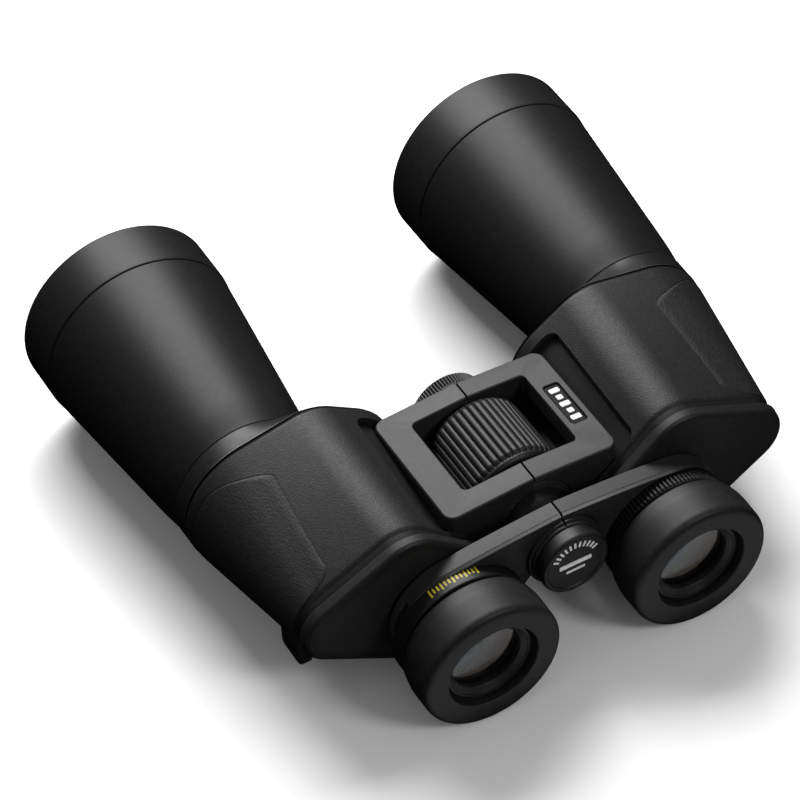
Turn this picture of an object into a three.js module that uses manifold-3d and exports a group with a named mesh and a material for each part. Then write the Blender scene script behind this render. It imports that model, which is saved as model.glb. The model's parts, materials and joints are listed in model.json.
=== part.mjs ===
// Porro-prism binoculars with a centre focus wheel, as an assembly of separate pieces.
//
// While modelling, X points to the user's right, Y forwards to the objectives and Z up.
// The hinge axis is the line x = 0, z = 0, and y = 0 is the rear face of the eyecups.
// The finished group is moved so that it stands on z = 0 with its centre over the origin.
// Sizes are millimetres.

import * as THREE from 'three';
import { mergeVertices } from 'three/addons/utils/BufferGeometryUtils.js';
import Module from 'manifold-3d';

const wasm = await Module();
wasm.setup();

// ---- Clearances ----
const GAP = 0.3; // between two pieces that touch or slide on each other
const SEAM = 0.7; // between the two halves of the bridge, so that they can fold

// ---- Overall sizes ----
const OVERALL_LENGTH = 179; // eyecup rear face to objective rim
const OBJECTIVE_AXIS = { x: 65.5, z: -1.3 };
const EYEPIECE_AXIS = { x: 35.2, z: -11.35 };
const FOCUS_INWARDS = 0.5; // travel of the eyepieces towards the housings
const DIOPTRE_TRAVEL = 1.0; // travel of the right eyepiece each way

// ---- Objectives and barrels ----
const RING_LENGTH = 17.4;
const RING_RADIUS = 32.1;
const BARREL_MOUTH_RADIUS = 31.7; // where the barrel meets the objective ring
const BARREL_FLARE_RADIUS = 24.7; // end of the short flare at the root of the barrel
const BARREL_FLARE_LENGTH = 6.7;
const BARREL_ROOT_RADIUS = 23.6;
const BARREL_WALL = 2;
const SPIGOT_RADIUS = 18.5; // rear tube of the barrel, inside the housing
const LENS_RADIUS = 25.6;
const CELL_WALL = 1.6;
const CELL_LENGTH = 14.5;
const CELL_LIP = 1.2;
const SKIRT_LENGTH = 5; // rear part of the objective ring, inside the barrel's mouth
const RING_EDGE = 1.2; // rounding of the objective ring's front edge

// ---- Prism housings ----
const COVER_REAR = 27; // flat rear face of the rear cover
const COVER_LENGTH = 3.7;
const COVER_PLATE = 2.6;
const GUIDE_LENGTH = 6;
const GUIDE_WALL = 1.2;
const HOUSING_FRONT = 85;
const COLLAR_LENGTH = 7;
const COLLAR_SHOULDER = 4; // depth of the collar round the inner lobe
const ARMOUR = 2; // rubber over the casting
const CASTING_WALL = 2;
const PAD_DEPTH = 1;
const PAD_REAR = 35;
const PAD_FRONT = 81;
const PAD_CORNER = 5;
const PAD_REAR_HALF_HEIGHT = 13.5;
const PAD_FRONT_HALF_HEIGHT = 20;
const PAD_INNER_EDGE = 6; // the pad starts this far inside the objective axis
const PRISM_WIDTH = 14.4;
const PRISM_HALF_LENGTH = 18;
const PRISM_FLAT = 1.5; // half width of the flat ground on a prism's ridge
const SHELF_THICKNESS = 2.3;
const LIGHT_HOLE_RADIUS = 6.8;

// ---- Bridge and hinge ----
const TUBE_RADIUS = 6; // hinge tube
const ROD_RADIUS = 4; // focus rod inside it
const KNUCKLE_RADIUS = 12.5;
const FRAME_TOP = 15.5; // height of the bridge over the hinge axis
const FRAME_DEPTH = 6.5;
const FRAME_SLOPE = Math.tan(THREE.MathUtils.degToRad(3.5)); // falls away from the hinge
const FRAME_HALF_WIDTH = 28.85;
const FRAME_REAR = 35.2;
const FRAME_FRONT = 80.7;
const FRAME_CORNER = 3.5;
const WINDOW_HALF_WIDTH = 19.15;
const WINDOW_REAR = 43;
const WINDOW_FRONT = 73.7;
const WINDOW_CORNER = 2.5;
const POCKET_MARGIN = 5.5; // armour cut back beside the bridge
const WHEEL_RADIUS = 16;
const WHEEL_CORE_RADIUS = 12.5;
const WHEEL_RIBS = 36;
const WHEEL_RIB_DEPTH = 0.8;
const WHEEL_SHOULDER = 1.6; // bevel at each end of the focus wheel
const DIOPTRE_RIBS = 40;
const CAP_RIBS = 30;
const SMALL_RIB_DEPTH = 0.5; // on the dioptre ring and the tripod cap
const RIB_FADE = 0.1; // depth of a rib where it runs out at an end face
const WASHER_THICKNESS = 0.9;
const BADGE = { x: 24, y: 57.5, width: 4.8, length: 17, thickness: 0.8 };

// ---- Eyepieces ----
const EYECUP_RADIUS = 22.7;
const EYECUP_LENGTH = 15;
const EYECUP_HOLE = 14.8;
const EYECUP_WALL = 3.4;
const EYECUP_EDGE = 3; // rounding of the rear outer edge
const BARREL_BORE = 14.2; // eye lens seat in the ocular tube
const OCULAR_RADIUS = 17.3;
const OCULAR_NECK = 12.4; // part of the ocular tube that slides in the housing
const OCULAR_FRONT = 44;
const TWIST_WALL = 1.4;
const EYE_LENS_RADIUS = 13.6;
const EYE_LENS_VISIBLE = 11.2;
const RING_REAR = 16; // dioptre ring and the plain ring opposite it
const RING_FRONT = 22.2;
const RING_OUTER = 21;
const ARM_REAR = 20;
const ARM_RING_REAR = RING_FRONT + DIOPTRE_TRAVEL + 0.2; // clear of the ring when it moves forwards
const ARM_FRONT = 26.2;
const ARM_RING_RADIUS = 19.7;
const ARM_TOP = 14.2;
const ARM_SHOULDER = 6; // half width of the flat where an arm meets its ring
const HUB_REAR = 17.6;
const CAP_REAR = 12.6;
const CAP_RADIUS = 11.1;

// ---- Tripod socket ----
const STUD_RADIUS = 3.1;
const TRIPOD_CAP_RADIUS = 12.1;
const TRIPOD_CAP_REAR = 82;
const TRIPOD_CAP_LENGTH = 6.3;
const STUD_DEPTH = 8; // how far the stud screws into the socket
const STUD_SEAT = 3; // how far it goes into the cap

// ---- Strap lugs ----
const LUG = {
  outwards: 11, // from the objective axis
  y: 43.5,
  bottom: -22.5,
  length: 12,
  thickness: 4.4,
  bar: 2.2,
  slotLength: 7.4,
  slotHeight: 5,
};

// ---- Facets ----
const ROUND = 24; // outside surfaces
const SMALL_ROUND = 16; // small and inside pieces
const ARC_STEPS = 2; // a quarter-turn edge or a lens face

// Points that follow from the sizes above.
const RING_SEAM = OVERALL_LENGTH - RING_LENGTH;
const BARREL_REAR = HOUSING_FRONT + COLLAR_LENGTH + 2 * GAP;
const FLARE_END = BARREL_REAR + BARREL_FLARE_LENGTH;
const CASTING_REAR = COVER_REAR + COVER_LENGTH + GAP;
const CELL_FRONT = RING_SEAM + 1.5;
const CELL_REAR = CELL_FRONT - CELL_LENGTH;
const HALF_SEAM = SEAM / 2;

// A Porro pair moves the light sideways twice, at right angles. TURN is where it passes from one prism
// to the other, and PRISM_STEP is how far each prism moves it.
const PATH_X = EYEPIECE_AXIS.x - OBJECTIVE_AXIS.x;
const PATH_Z = EYEPIECE_AXIS.z - OBJECTIVE_AXIS.z;
const TURN = { x: OBJECTIVE_AXIS.x + (PATH_X + PATH_Z) / 2, z: OBJECTIVE_AXIS.z + (PATH_Z - PATH_X) / 2 };
const PRISM_STEP = Math.hypot(PATH_X, PATH_Z) / Math.SQRT2;

// ---- Solids ----

// A closed three.js geometry as a solid that can be joined and cut.
function solid(geometry) {
  geometry.deleteAttribute('normal');
  geometry.deleteAttribute('uv');
  const merged = mergeVertices(geometry, 1e-4);
  return new wasm.Manifold(new wasm.Mesh({
    numProp: 3,
    vertProperties: new Float32Array(merged.attributes.position.array),
    triVerts: new Uint32Array(merged.index.array),
  }));
}

// A body of revolution about the line through the given axis point, parallel to Y.
// The profile is a ring of [radius, y] corners, or starts and ends on the axis.
function turned(profile, axis = { x: 0, z: 0 }, facets = ROUND) {
  const points = profile.map(([radius, y]) => new THREE.Vector2(radius, y));
  if (THREE.ShapeUtils.area(points) < 0) points.reverse();
  if (points[0].x > 0) points.push(points[0].clone());
  const geometry = new THREE.LatheGeometry(points, facets);
  geometry.translate(axis.x, 0, axis.z);
  return solid(geometry);
}

// A plain disc or rod along Y.
function rod(radius, rear, front, axis, facets = ROUND) {
  return turned([[0, rear], [radius, rear], [radius, front], [0, front]], axis, facets);
}

// A plain tube along Y.
function tube(inner, outer, rear, front, axis, facets = ROUND) {
  return turned([[inner, rear], [outer, rear], [outer, front], [inner, front]], axis, facets);
}

function box(low, high) {
  const size = high.map((value, i) => value - low[i]);
  const geometry = new THREE.BoxGeometry(...size);
  geometry.translate(...low.map((value, i) => value + size[i] / 2));
  return solid(geometry);
}

// A quarter-turn edge on a profile, about [radius, y], from one angle to another in degrees.
function roundedEdge(radius, y, size, from, to) {
  const points = [];
  for (let step = 0; step <= ARC_STEPS; step++) {
    const angle = THREE.MathUtils.degToRad(THREE.MathUtils.lerp(from, to, step / ARC_STEPS));
    points.push([radius + size * Math.cos(angle), y + size * Math.sin(angle)]);
  }
  return points;
}

// A rectangle with rounded corners.
function roundedRectangle(left, bottom, right, top, corner) {
  const shape = new THREE.Shape();
  shape.absarc(right - corner, bottom + corner, corner, -Math.PI / 2, 0);
  shape.absarc(right - corner, top - corner, corner, 0, Math.PI / 2);
  shape.absarc(left + corner, top - corner, corner, Math.PI / 2, Math.PI);
  shape.absarc(left + corner, bottom + corner, corner, Math.PI, 1.5 * Math.PI);
  return shape;
}

const ALONG_X = new THREE.Vector3(1, 0, 0);
const ALONG_Y = new THREE.Vector3(0, 1, 0);
const ALONG_Z = new THREE.Vector3(0, 0, 1);

// An outline drawn with its x and y along two given directions and extruded along their cross product.
function extruded(shape, depth, start, xAxis, yAxis) {
  const geometry = new THREE.ExtrudeGeometry(shape, { depth, bevelEnabled: false, curveSegments: ARC_STEPS });
  geometry.translate(0, 0, start);
  const zAxis = new THREE.Vector3().crossVectors(xAxis, yAxis);
  geometry.applyMatrix4(new THREE.Matrix4().makeBasis(xAxis, yAxis, zAxis));
  return geometry;
}

// ---- The prism housing's outer form ----

// The outline at any y is the band that would close round three discs: one at the eyepiece, one at the
// upper lobe where the prisms meet, and one that grows into the barrel at the objective.
const DISCS = [
  {
    rear: { x: EYEPIECE_AXIS.x + 0.8, z: EYEPIECE_AXIS.z + 1.2, r: 20 },
    front: { x: EYEPIECE_AXIS.x + 0.8, z: EYEPIECE_AXIS.z + 1.2, r: 20 },
  },
  {
    rear: { x: TURN.x + 0.7, z: TURN.z - 0.8, r: 12.5 },
    front: { x: TURN.x + 3.7, z: TURN.z - 0.8, r: 18 },
  },
  {
    rear: { x: OBJECTIVE_AXIS.x + 4.5, z: OBJECTIVE_AXIS.z + 0.3, r: 9.8 },
    front: { x: OBJECTIVE_AXIS.x, z: OBJECTIVE_AXIS.z, r: 24 },
  },
];

function discsAt(y) {
  const part = (y - COVER_REAR) / (HOUSING_FRONT - COVER_REAR);
  return DISCS.map(({ rear, front }) => ({
    x: THREE.MathUtils.lerp(rear.x, front.x, part),
    z: THREE.MathUtils.lerp(rear.z, front.z, part),
    r: THREE.MathUtils.lerp(rear.r, front.r, part),
  }));
}

// Where the outline at y faces the given direction, moved outwards by grow.
function outlinePoint(y, directionX, directionZ, grow) {
  const reach = (disc) => disc.x * directionX + disc.z * directionZ + disc.r;
  const disc = discsAt(y).reduce((best, next) => (reach(next) > reach(best) ? next : best));
  return [disc.x + (disc.r + grow) * directionX, disc.z + (disc.r + grow) * directionZ];
}

// A solid block with the housing's outline. Each station is [y, grow].
function housingBlock(stations) {
  const steps = stations.length - 1;
  const geometry = new THREE.CylinderGeometry(1, 1, 1, ROUND, steps);
  const position = geometry.attributes.position;
  const middle = { x: (EYEPIECE_AXIS.x + OBJECTIVE_AXIS.x) / 2, z: (EYEPIECE_AXIS.z + TURN.z) / 2 };
  for (let i = 0; i < position.count; i++) {
    const reach = Math.hypot(position.getX(i), position.getZ(i));
    const [y, grow] = stations[Math.round((position.getY(i) + 0.5) * steps)];
    const direction = [position.getX(i) / (reach || 1), position.getZ(i) / (reach || 1)];
    const [x, z] = outlinePoint(y, ...direction, grow);
    position.setXYZ(i, middle.x + (x - middle.x) * reach, y, middle.z + (z - middle.z) * reach);
  }
  return solid(geometry);
}

// Stations at one growth. Every block bends at the same two places between its ends, so that nested
// blocks keep an even wall.
function evenStations(rear, front, grow) {
  const third = (HOUSING_FRONT - COVER_REAR) / 3;
  const bends = [COVER_REAR + third, COVER_REAR + 2 * third].filter((y) => y > rear && y < front);
  return [rear, ...bends, front].map((y) => [y, grow]);
}

const CASTING_OFFSET = -ARMOUR - GAP;
const INSIDE_OFFSET = CASTING_OFFSET - CASTING_WALL;
const CASTING_FRONT = HOUSING_FRONT - GAP;
const CHAMBER_FRONT = CASTING_FRONT - CASTING_WALL - 0.5;

// ---- Housing pieces, right-hand side ----

// The outline of the grip pad seen from the side, grown by the given margin.
function padWindow(margin) {
  const shape = new THREE.Shape();
  const rear = PAD_REAR - margin;
  const front = PAD_FRONT + margin;
  const rearHalf = PAD_REAR_HALF_HEIGHT + margin;
  const frontHalf = PAD_FRONT_HALF_HEIGHT + margin;
  const middle = OBJECTIVE_AXIS.z;
  const corner = PAD_CORNER + margin;
  shape.absarc(front - corner, middle - frontHalf + corner, corner, -Math.PI / 2, 0);
  shape.absarc(front - corner, middle + frontHalf - corner, corner, 0, Math.PI / 2);
  shape.absarc(rear + corner, middle + rearHalf - corner, corner, Math.PI / 2, Math.PI);
  shape.absarc(rear + corner, middle - rearHalf + corner, corner, Math.PI, 1.5 * Math.PI);
  return solid(extruded(shape, RING_RADIUS * 2, OBJECTIVE_AXIS.x - PAD_INNER_EDGE, ALONG_Y, ALONG_Z));
}

function gripPad() {
  const skin = housingBlock(evenStations(PAD_REAR - 2, PAD_FRONT + 2, 0));
  const backing = housingBlock(evenStations(PAD_REAR - 3, PAD_FRONT + 3, -PAD_DEPTH));
  return skin.subtract(backing).intersect(padWindow(0));
}

// The rubber skin, cut back beside the bridge and recessed under the grip pad.
function armour() {
  const outside = housingBlock(evenStations(CASTING_REAR, HOUSING_FRONT, 0));
  const inside = housingBlock(evenStations(CASTING_REAR - 1, HOUSING_FRONT + 1, -ARMOUR));
  const pocketShape = roundedRectangle(
    -FRAME_HALF_WIDTH, FRAME_REAR - 2 * GAP,
    FRAME_HALF_WIDTH + POCKET_MARGIN, FRAME_FRONT + 2 * GAP, FRAME_CORNER,
  );
  const pocket = solid(extruded(pocketShape, 2 * RING_RADIUS, -2, ALONG_X, ALONG_Y));
  const recessFloor = housingBlock(evenStations(PAD_REAR - 3, PAD_FRONT + 3, -PAD_DEPTH - GAP));
  const recess = padWindow(GAP).subtract(recessFloor);
  return outside.subtract(inside).subtract(pocket).subtract(recess);
}

// The space inside the casting, less the given margin.
function chamber(margin) {
  return housingBlock(evenStations(CASTING_REAR - 1, CHAMBER_FRONT, INSIDE_OFFSET - margin));
}

// The cast body: a shell open at the rear, with a hole in front for the barrel.
function casting() {
  const outside = housingBlock(evenStations(CASTING_REAR, CASTING_FRONT, CASTING_OFFSET));
  const hole = rod(SPIGOT_RADIUS + GAP, CHAMBER_FRONT - 1, CASTING_FRONT + 1, OBJECTIVE_AXIS);
  return outside.subtract(chamber(0)).subtract(hole);
}

// The cover that closes the casting, with the guide that the ocular tube slides in.
function rearCover() {
  const front = COVER_REAR + COVER_LENGTH;
  const bore = OCULAR_NECK + GAP;
  const outside = housingBlock([
    [COVER_REAR, -0.5], [COVER_REAR + 0.4, 0.3], [COVER_REAR + 1.2, 0.9], [front - 0.5, 1], [front, 0.6],
  ]);
  const hollow = housingBlock([[COVER_REAR + COVER_PLATE, INSIDE_OFFSET], [front + 1, INSIDE_OFFSET]]);
  const guideFront = COVER_REAR + GUIDE_LENGTH;
  const guide = rod(bore + GUIDE_WALL, COVER_REAR + 1, guideFront, EYEPIECE_AXIS);
  const hole = rod(bore, COVER_REAR - 1, guideFront + 1, EYEPIECE_AXIS);
  return outside.subtract(hollow).add(guide).subtract(hole);
}

// The smooth band between armour and barrel.
function frontCollar() {
  const rear = HOUSING_FRONT + GAP;
  const shoulder = rear + COLLAR_SHOULDER;
  const band = housingBlock([[rear, -0.4], [shoulder - 0.9, -1.1], [shoulder - 0.2, -1.7], [shoulder, -2.6]]);
  const front = rear + COLLAR_LENGTH;
  const nose = rod(BARREL_ROOT_RADIUS + 0.4, rear, front, OBJECTIVE_AXIS);
  const hole = rod(SPIGOT_RADIUS + GAP, rear - 1, front + 1, OBJECTIVE_AXIS);
  return band.add(nose).subtract(hole);
}

// A right-angle prism in the plane of one sideways step, with its ridge towards ridge (-1 rear, 1 front).
function prism(from, to, faceY, ridge) {
  const along = new THREE.Vector3(to.x - from.x, 0, to.z - from.z).normalize();
  const end = PRISM_STEP - PRISM_HALF_LENGTH;
  const shape = new THREE.Shape([
    new THREE.Vector2(-PRISM_HALF_LENGTH, 0),
    new THREE.Vector2(PRISM_HALF_LENGTH, 0),
    new THREE.Vector2(PRISM_HALF_LENGTH, end),
    new THREE.Vector2(PRISM_FLAT, PRISM_STEP - PRISM_FLAT),
    new THREE.Vector2(-PRISM_FLAT, PRISM_STEP - PRISM_FLAT),
    new THREE.Vector2(-PRISM_HALF_LENGTH, end),
  ]);
  const toRidge = new THREE.Vector3(0, ridge, 0);
  const geometry = extruded(shape, PRISM_WIDTH, -PRISM_WIDTH / 2, along, toRidge);
  geometry.translate((from.x + to.x) / 2, faceY, (from.z + to.z) / 2);
  return solid(geometry).intersect(chamber(GAP));
}

// The shelf stands midway in the housing, with one prism on each face and a hole for each light path.
const SHELF_REAR = (COVER_REAR + COVER_PLATE + CHAMBER_FRONT - SHELF_THICKNESS) / 2 + 0.1;

function prismShelf() {
  const front = SHELF_REAR + SHELF_THICKNESS;
  const reach = 2 * RING_RADIUS;
  const slab = box(
    [TURN.x - reach, SHELF_REAR, TURN.z - reach],
    [TURN.x + reach, front, TURN.z + reach],
  );
  const plate = slab.intersect(chamber(GAP));
  const holes = [OBJECTIVE_AXIS, TURN, EYEPIECE_AXIS];
  return holes.reduce(
    (rest, axis) => rest.subtract(rod(LIGHT_HOLE_RADIUS, SHELF_REAR - 1, front + 1, axis, SMALL_ROUND)),
    plate,
  );
}

function rearPrism() {
  return prism(OBJECTIVE_AXIS, TURN, SHELF_REAR - GAP, -1);
}

function frontPrism() {
  return prism(TURN, EYEPIECE_AXIS, SHELF_REAR + SHELF_THICKNESS + GAP, 1);
}

// A loop under the outer side of the housing for the neck strap.
function strapLug() {
  const x = OBJECTIVE_AXIS.x + LUG.outwards;
  const half = LUG.length / 2;
  const block = box(
    [x - LUG.thickness / 2, LUG.y - half, LUG.bottom],
    [x + LUG.thickness / 2, LUG.y + half, OBJECTIVE_AXIS.z],
  );
  const slotBottom = LUG.bottom + LUG.bar;
  const slot = box(
    [x - LUG.thickness, LUG.y - LUG.slotLength / 2, slotBottom],
    [x + LUG.thickness, LUG.y + LUG.slotLength / 2, slotBottom + LUG.slotHeight],
  );
  const body = housingBlock(evenStations(CASTING_REAR, HOUSING_FRONT, GAP));
  return block.subtract(slot).subtract(body);
}

// ---- Barrel and objective, right-hand side ----

// The barrel's outer radius anywhere between its flare and the objective ring.
function barrelRadius(y) {
  const part = (y - FLARE_END) / (RING_SEAM - FLARE_END);
  return THREE.MathUtils.lerp(BARREL_FLARE_RADIUS, BARREL_MOUTH_RADIUS, part);
}

function barrel() {
  const front = RING_SEAM - GAP;
  const spigotRear = CHAMBER_FRONT + GAP;
  return turned([
    [SPIGOT_RADIUS, spigotRear],
    [SPIGOT_RADIUS, BARREL_REAR],
    [BARREL_ROOT_RADIUS, BARREL_REAR],
    [BARREL_FLARE_RADIUS, FLARE_END],
    [barrelRadius(front), front],
    [barrelRadius(front) - BARREL_WALL, front],
    [BARREL_FLARE_RADIUS - BARREL_WALL, FLARE_END],
    [SPIGOT_RADIUS - BARREL_WALL, BARREL_REAR],
    [SPIGOT_RADIUS - BARREL_WALL, spigotRear],
  ], OBJECTIVE_AXIS);
}

const CELL_RADIUS = LENS_RADIUS + GAP + CELL_WALL;

// The ring that hoods the lens. Its rear skirt goes inside the barrel's mouth.
function objectiveRing() {
  const skirtRear = RING_SEAM - SKIRT_LENGTH;
  const inner = CELL_RADIUS + GAP;
  const skirt = (y) => barrelRadius(y) - BARREL_WALL - GAP;
  return turned([
    [skirt(skirtRear), skirtRear],
    [skirt(RING_SEAM), RING_SEAM],
    [RING_RADIUS - 0.3, RING_SEAM],
    [RING_RADIUS, RING_SEAM + 2],
    ...roundedEdge(RING_RADIUS - RING_EDGE, OVERALL_LENGTH - RING_EDGE, RING_EDGE, 0, 90),
    [inner + 1.6, OVERALL_LENGTH],
    [inner + 0.9, OVERALL_LENGTH - 1],
    [inner, CELL_FRONT + 2],
    [inner, skirtRear],
  ], OBJECTIVE_AXIS);
}

function objectiveCell() {
  const bore = LENS_RADIUS + GAP;
  return turned([
    [bore - CELL_LIP, CELL_REAR],
    [CELL_RADIUS, CELL_REAR],
    [CELL_RADIUS, CELL_FRONT],
    [bore, CELL_FRONT],
    [bore, CELL_REAR + CELL_LIP],
    [bore - CELL_LIP, CELL_REAR + CELL_LIP],
  ], OBJECTIVE_AXIS, SMALL_ROUND);
}

// Points of a lens face from its rim in to the axis. The rim is at rimY, and a positive radius of
// curvature puts the middle of the face further forward than its rim.
function lensFace(rimY, curvature, rim) {
  const size = Math.abs(curvature);
  const height = (radius) => Math.sqrt(size * size - radius * radius) - Math.sqrt(size * size - rim * rim);
  const points = [];
  for (let step = ARC_STEPS; step >= 0; step--) {
    const radius = (rim * step) / ARC_STEPS;
    points.push([radius, rimY + Math.sign(curvature) * height(radius)]);
  }
  return points;
}

// A lens from its rear face's and its front face's rim positions and curvatures.
function lens(rim, rear, rearCurvature, front, frontCurvature, axis) {
  const profile = [...lensFace(rear, rearCurvature, rim).reverse(), ...lensFace(front, frontCurvature, rim)];
  return turned(profile, axis, SMALL_ROUND);
}

const FLINT_REAR = CELL_REAR + CELL_LIP + GAP;
const FLINT_RIM = 4.4;
const CROWN_RIM = 3.2;
const CROWN_REAR = FLINT_REAR + FLINT_RIM + GAP;
const CROWN_FRONT = CROWN_REAR + CROWN_RIM;
const OBJECTIVE_CURVES = { flintRear: -300, cemented: -90, crownFront: 110 };

function flintLens() {
  const { flintRear, cemented } = OBJECTIVE_CURVES;
  return lens(LENS_RADIUS, FLINT_REAR, flintRear, FLINT_REAR + FLINT_RIM, cemented, OBJECTIVE_AXIS);
}

function crownLens() {
  const { cemented, crownFront } = OBJECTIVE_CURVES;
  return lens(LENS_RADIUS, CROWN_REAR, cemented, CROWN_FRONT, crownFront, OBJECTIVE_AXIS);
}

function objectiveRetainer() {
  const rear = CROWN_FRONT + GAP;
  return tube(LENS_RADIUS - 1, LENS_RADIUS, rear, rear + 2, OBJECTIVE_AXIS, SMALL_ROUND);
}

// ---- Bridge ----

// A piece of the sloping bridge: a plan outline between two heights, falling away from the hinge.
function sloped(shape, bottom, top) {
  const geometry = extruded(shape, top - bottom, bottom, ALONG_X, ALONG_Y);
  const position = geometry.attributes.position;
  for (let i = 0; i < position.count; i++) {
    position.setZ(i, position.getZ(i) - position.getX(i) * FRAME_SLOPE);
  }
  return solid(geometry);
}

function badge(margin, bottom, top) {
  const halfWidth = BADGE.width / 2 + margin;
  const halfLength = BADGE.length / 2 + margin;
  const shape = roundedRectangle(
    BADGE.x - halfWidth, BADGE.y - halfLength,
    BADGE.x + halfWidth, BADGE.y + halfLength, 0.8 + margin,
  );
  return sloped(shape, bottom, top);
}

function badgePlate() {
  return badge(0, FRAME_TOP - BADGE.thickness, FRAME_TOP);
}

// The y spans of the four knuckles: each beam of the bridge has one from each half.
const REAR_SPLIT = (FRAME_REAR + WINDOW_REAR) / 2;
const FRONT_SPLIT = (FRAME_FRONT + WINDOW_FRONT) / 2;
const LEFT_KNUCKLES = [
  [FRAME_REAR, REAR_SPLIT - GAP / 2],
  [FRONT_SPLIT + GAP / 2, FRAME_FRONT],
];
const RIGHT_KNUCKLES = [
  [REAR_SPLIT + GAP / 2, WINDOW_REAR],
  [WINDOW_FRONT, FRONT_SPLIT - GAP / 2],
];

// Half of the bridge, drawn on the right-hand side: a C-shaped plate with webs down to the housing and
// knuckles round the hinge tube, cut clear of the other half's knuckles.
function bridgeFrame(ownKnuckles, otherKnuckles) {
  const outline = roundedRectangle(-FRAME_HALF_WIDTH, FRAME_REAR, FRAME_HALF_WIDTH, FRAME_FRONT, FRAME_CORNER);
  const opening = roundedRectangle(
    -WINDOW_HALF_WIDTH, WINDOW_REAR, WINDOW_HALF_WIDTH, WINDOW_FRONT, WINDOW_CORNER,
  );
  const bottom = FRAME_TOP - FRAME_DEPTH;
  let half = sloped(outline, bottom, FRAME_TOP).subtract(sloped(opening, bottom - 5, FRAME_TOP + 5));
  for (const [rear, front] of [[FRAME_REAR, WINDOW_REAR], [WINDOW_FRONT, FRAME_FRONT]]) {
    half = half.add(box([KNUCKLE_RADIUS / 2, rear, 0], [EYEPIECE_AXIS.x - 8, front, bottom + 1]));
  }
  half = half.subtract(box([-2 * FRAME_HALF_WIDTH, 0, -50], [HALF_SEAM, OVERALL_LENGTH, 50]));
  for (const [rear, front] of ownKnuckles) {
    half = half.add(rod(KNUCKLE_RADIUS, rear, front));
  }
  for (const [rear, front] of otherKnuckles) {
    half = half.subtract(rod(KNUCKLE_RADIUS + GAP, rear - GAP, front + GAP));
  }
  const bore = rod(TUBE_RADIUS + GAP, FRAME_REAR - 1, FRAME_FRONT + 1);
  const casting = housingBlock(evenStations(CASTING_REAR, CASTING_FRONT, CASTING_OFFSET + GAP));
  return half.subtract(bore).subtract(casting);
}

function rightBridgeFrame() {
  const seat = badge(GAP, FRAME_TOP - BADGE.thickness - GAP, FRAME_TOP + 1);
  return bridgeFrame(RIGHT_KNUCKLES, LEFT_KNUCKLES).subtract(seat);
}

// ---- Hinge and focus ----

const TUBE_REAR = ARM_FRONT + FOCUS_INWARDS + GAP;
const FLANGE = { radius: 9, thickness: 0.7 };
const HINGE_COLLAR = { length: 6.4, wall: 4.2, chamfer: 1.5, chamferLength: 2 };
const TUBE_FRONT = FRAME_FRONT + GAP + FLANGE.thickness;

function hingeTube() {
  const inner = ROD_RADIUS + GAP;
  return turned([
    [inner, TUBE_REAR],
    [TUBE_RADIUS, TUBE_REAR],
    [TUBE_RADIUS, TUBE_FRONT - FLANGE.thickness],
    [FLANGE.radius, TUBE_FRONT - FLANGE.thickness],
    [FLANGE.radius, TUBE_FRONT],
    [inner, TUBE_FRONT],
  ], undefined, SMALL_ROUND);
}

function hingeCollar() {
  const front = FRAME_REAR - GAP;
  const rear = front - HINGE_COLLAR.length;
  const inner = TUBE_RADIUS + GAP;
  const outer = inner + HINGE_COLLAR.wall;
  return turned([
    [inner, rear],
    [outer - HINGE_COLLAR.chamfer, rear],
    [outer, rear + HINGE_COLLAR.chamferLength],
    [outer, front],
    [inner, front],
  ]);
}

const SOCKET_LENGTH = 11.5;
const ROD_END_SPACE = 8; // free bore between the focus rod and the tripod socket

function focusRod() {
  return rod(ROD_RADIUS, HUB_REAR, TUBE_FRONT - SOCKET_LENGTH - ROD_END_SPACE, undefined, SMALL_ROUND);
}

function thrustWasher(rear) {
  return tube(TUBE_RADIUS + GAP, WHEEL_CORE_RADIUS - 2, rear, rear + WASHER_THICKNESS, undefined, SMALL_ROUND);
}

const WHEEL_REAR = WINDOW_REAR + WASHER_THICKNESS + 3 * GAP;
const WHEEL_FRONT = WINDOW_FRONT - WASHER_THICKNESS - 2 * GAP;

// A round body along Y whose wall has ribs. Each station is [y, radius, rib depth].
function ribbed(stations, ribs, pointsPerRib, axis = { x: 0, z: 0 }) {
  const steps = stations.length - 1;
  const geometry = new THREE.CylinderGeometry(1, 1, 1, ribs * pointsPerRib, steps);
  const position = geometry.attributes.position;
  for (let i = 0; i < position.count; i++) {
    const reach = Math.hypot(position.getX(i), position.getZ(i));
    const [y, radius, depth] = stations[Math.round((position.getY(i) + 0.5) * steps)];
    const turn = Math.atan2(position.getX(i), position.getZ(i)) / (2 * Math.PI) + 1;
    const corner = Math.round(turn * ribs * pointsPerRib) % pointsPerRib;
    const size = corner < pointsPerRib / 2 ? radius : radius - depth;
    const scale = reach > 0 ? size / reach : 0;
    position.setXYZ(i, axis.x + position.getX(i) * scale, y, axis.z + position.getZ(i) * scale);
  }
  return solid(geometry);
}

function focusWheel() {
  const body = ribbed([
    [WHEEL_REAR, WHEEL_RADIUS - WHEEL_SHOULDER, RIB_FADE],
    [WHEEL_REAR + WHEEL_SHOULDER, WHEEL_RADIUS, WHEEL_RIB_DEPTH],
    [WHEEL_FRONT - WHEEL_SHOULDER, WHEEL_RADIUS, WHEEL_RIB_DEPTH],
    [WHEEL_FRONT, WHEEL_RADIUS - WHEEL_SHOULDER, RIB_FADE],
  ], WHEEL_RIBS, 2);
  return body.subtract(rod(WHEEL_CORE_RADIUS + GAP, WHEEL_REAR - 1, WHEEL_FRONT + 1));
}

function wheelCore() {
  return tube(TUBE_RADIUS + GAP, WHEEL_CORE_RADIUS, WHEEL_REAR, WHEEL_FRONT);
}

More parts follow.
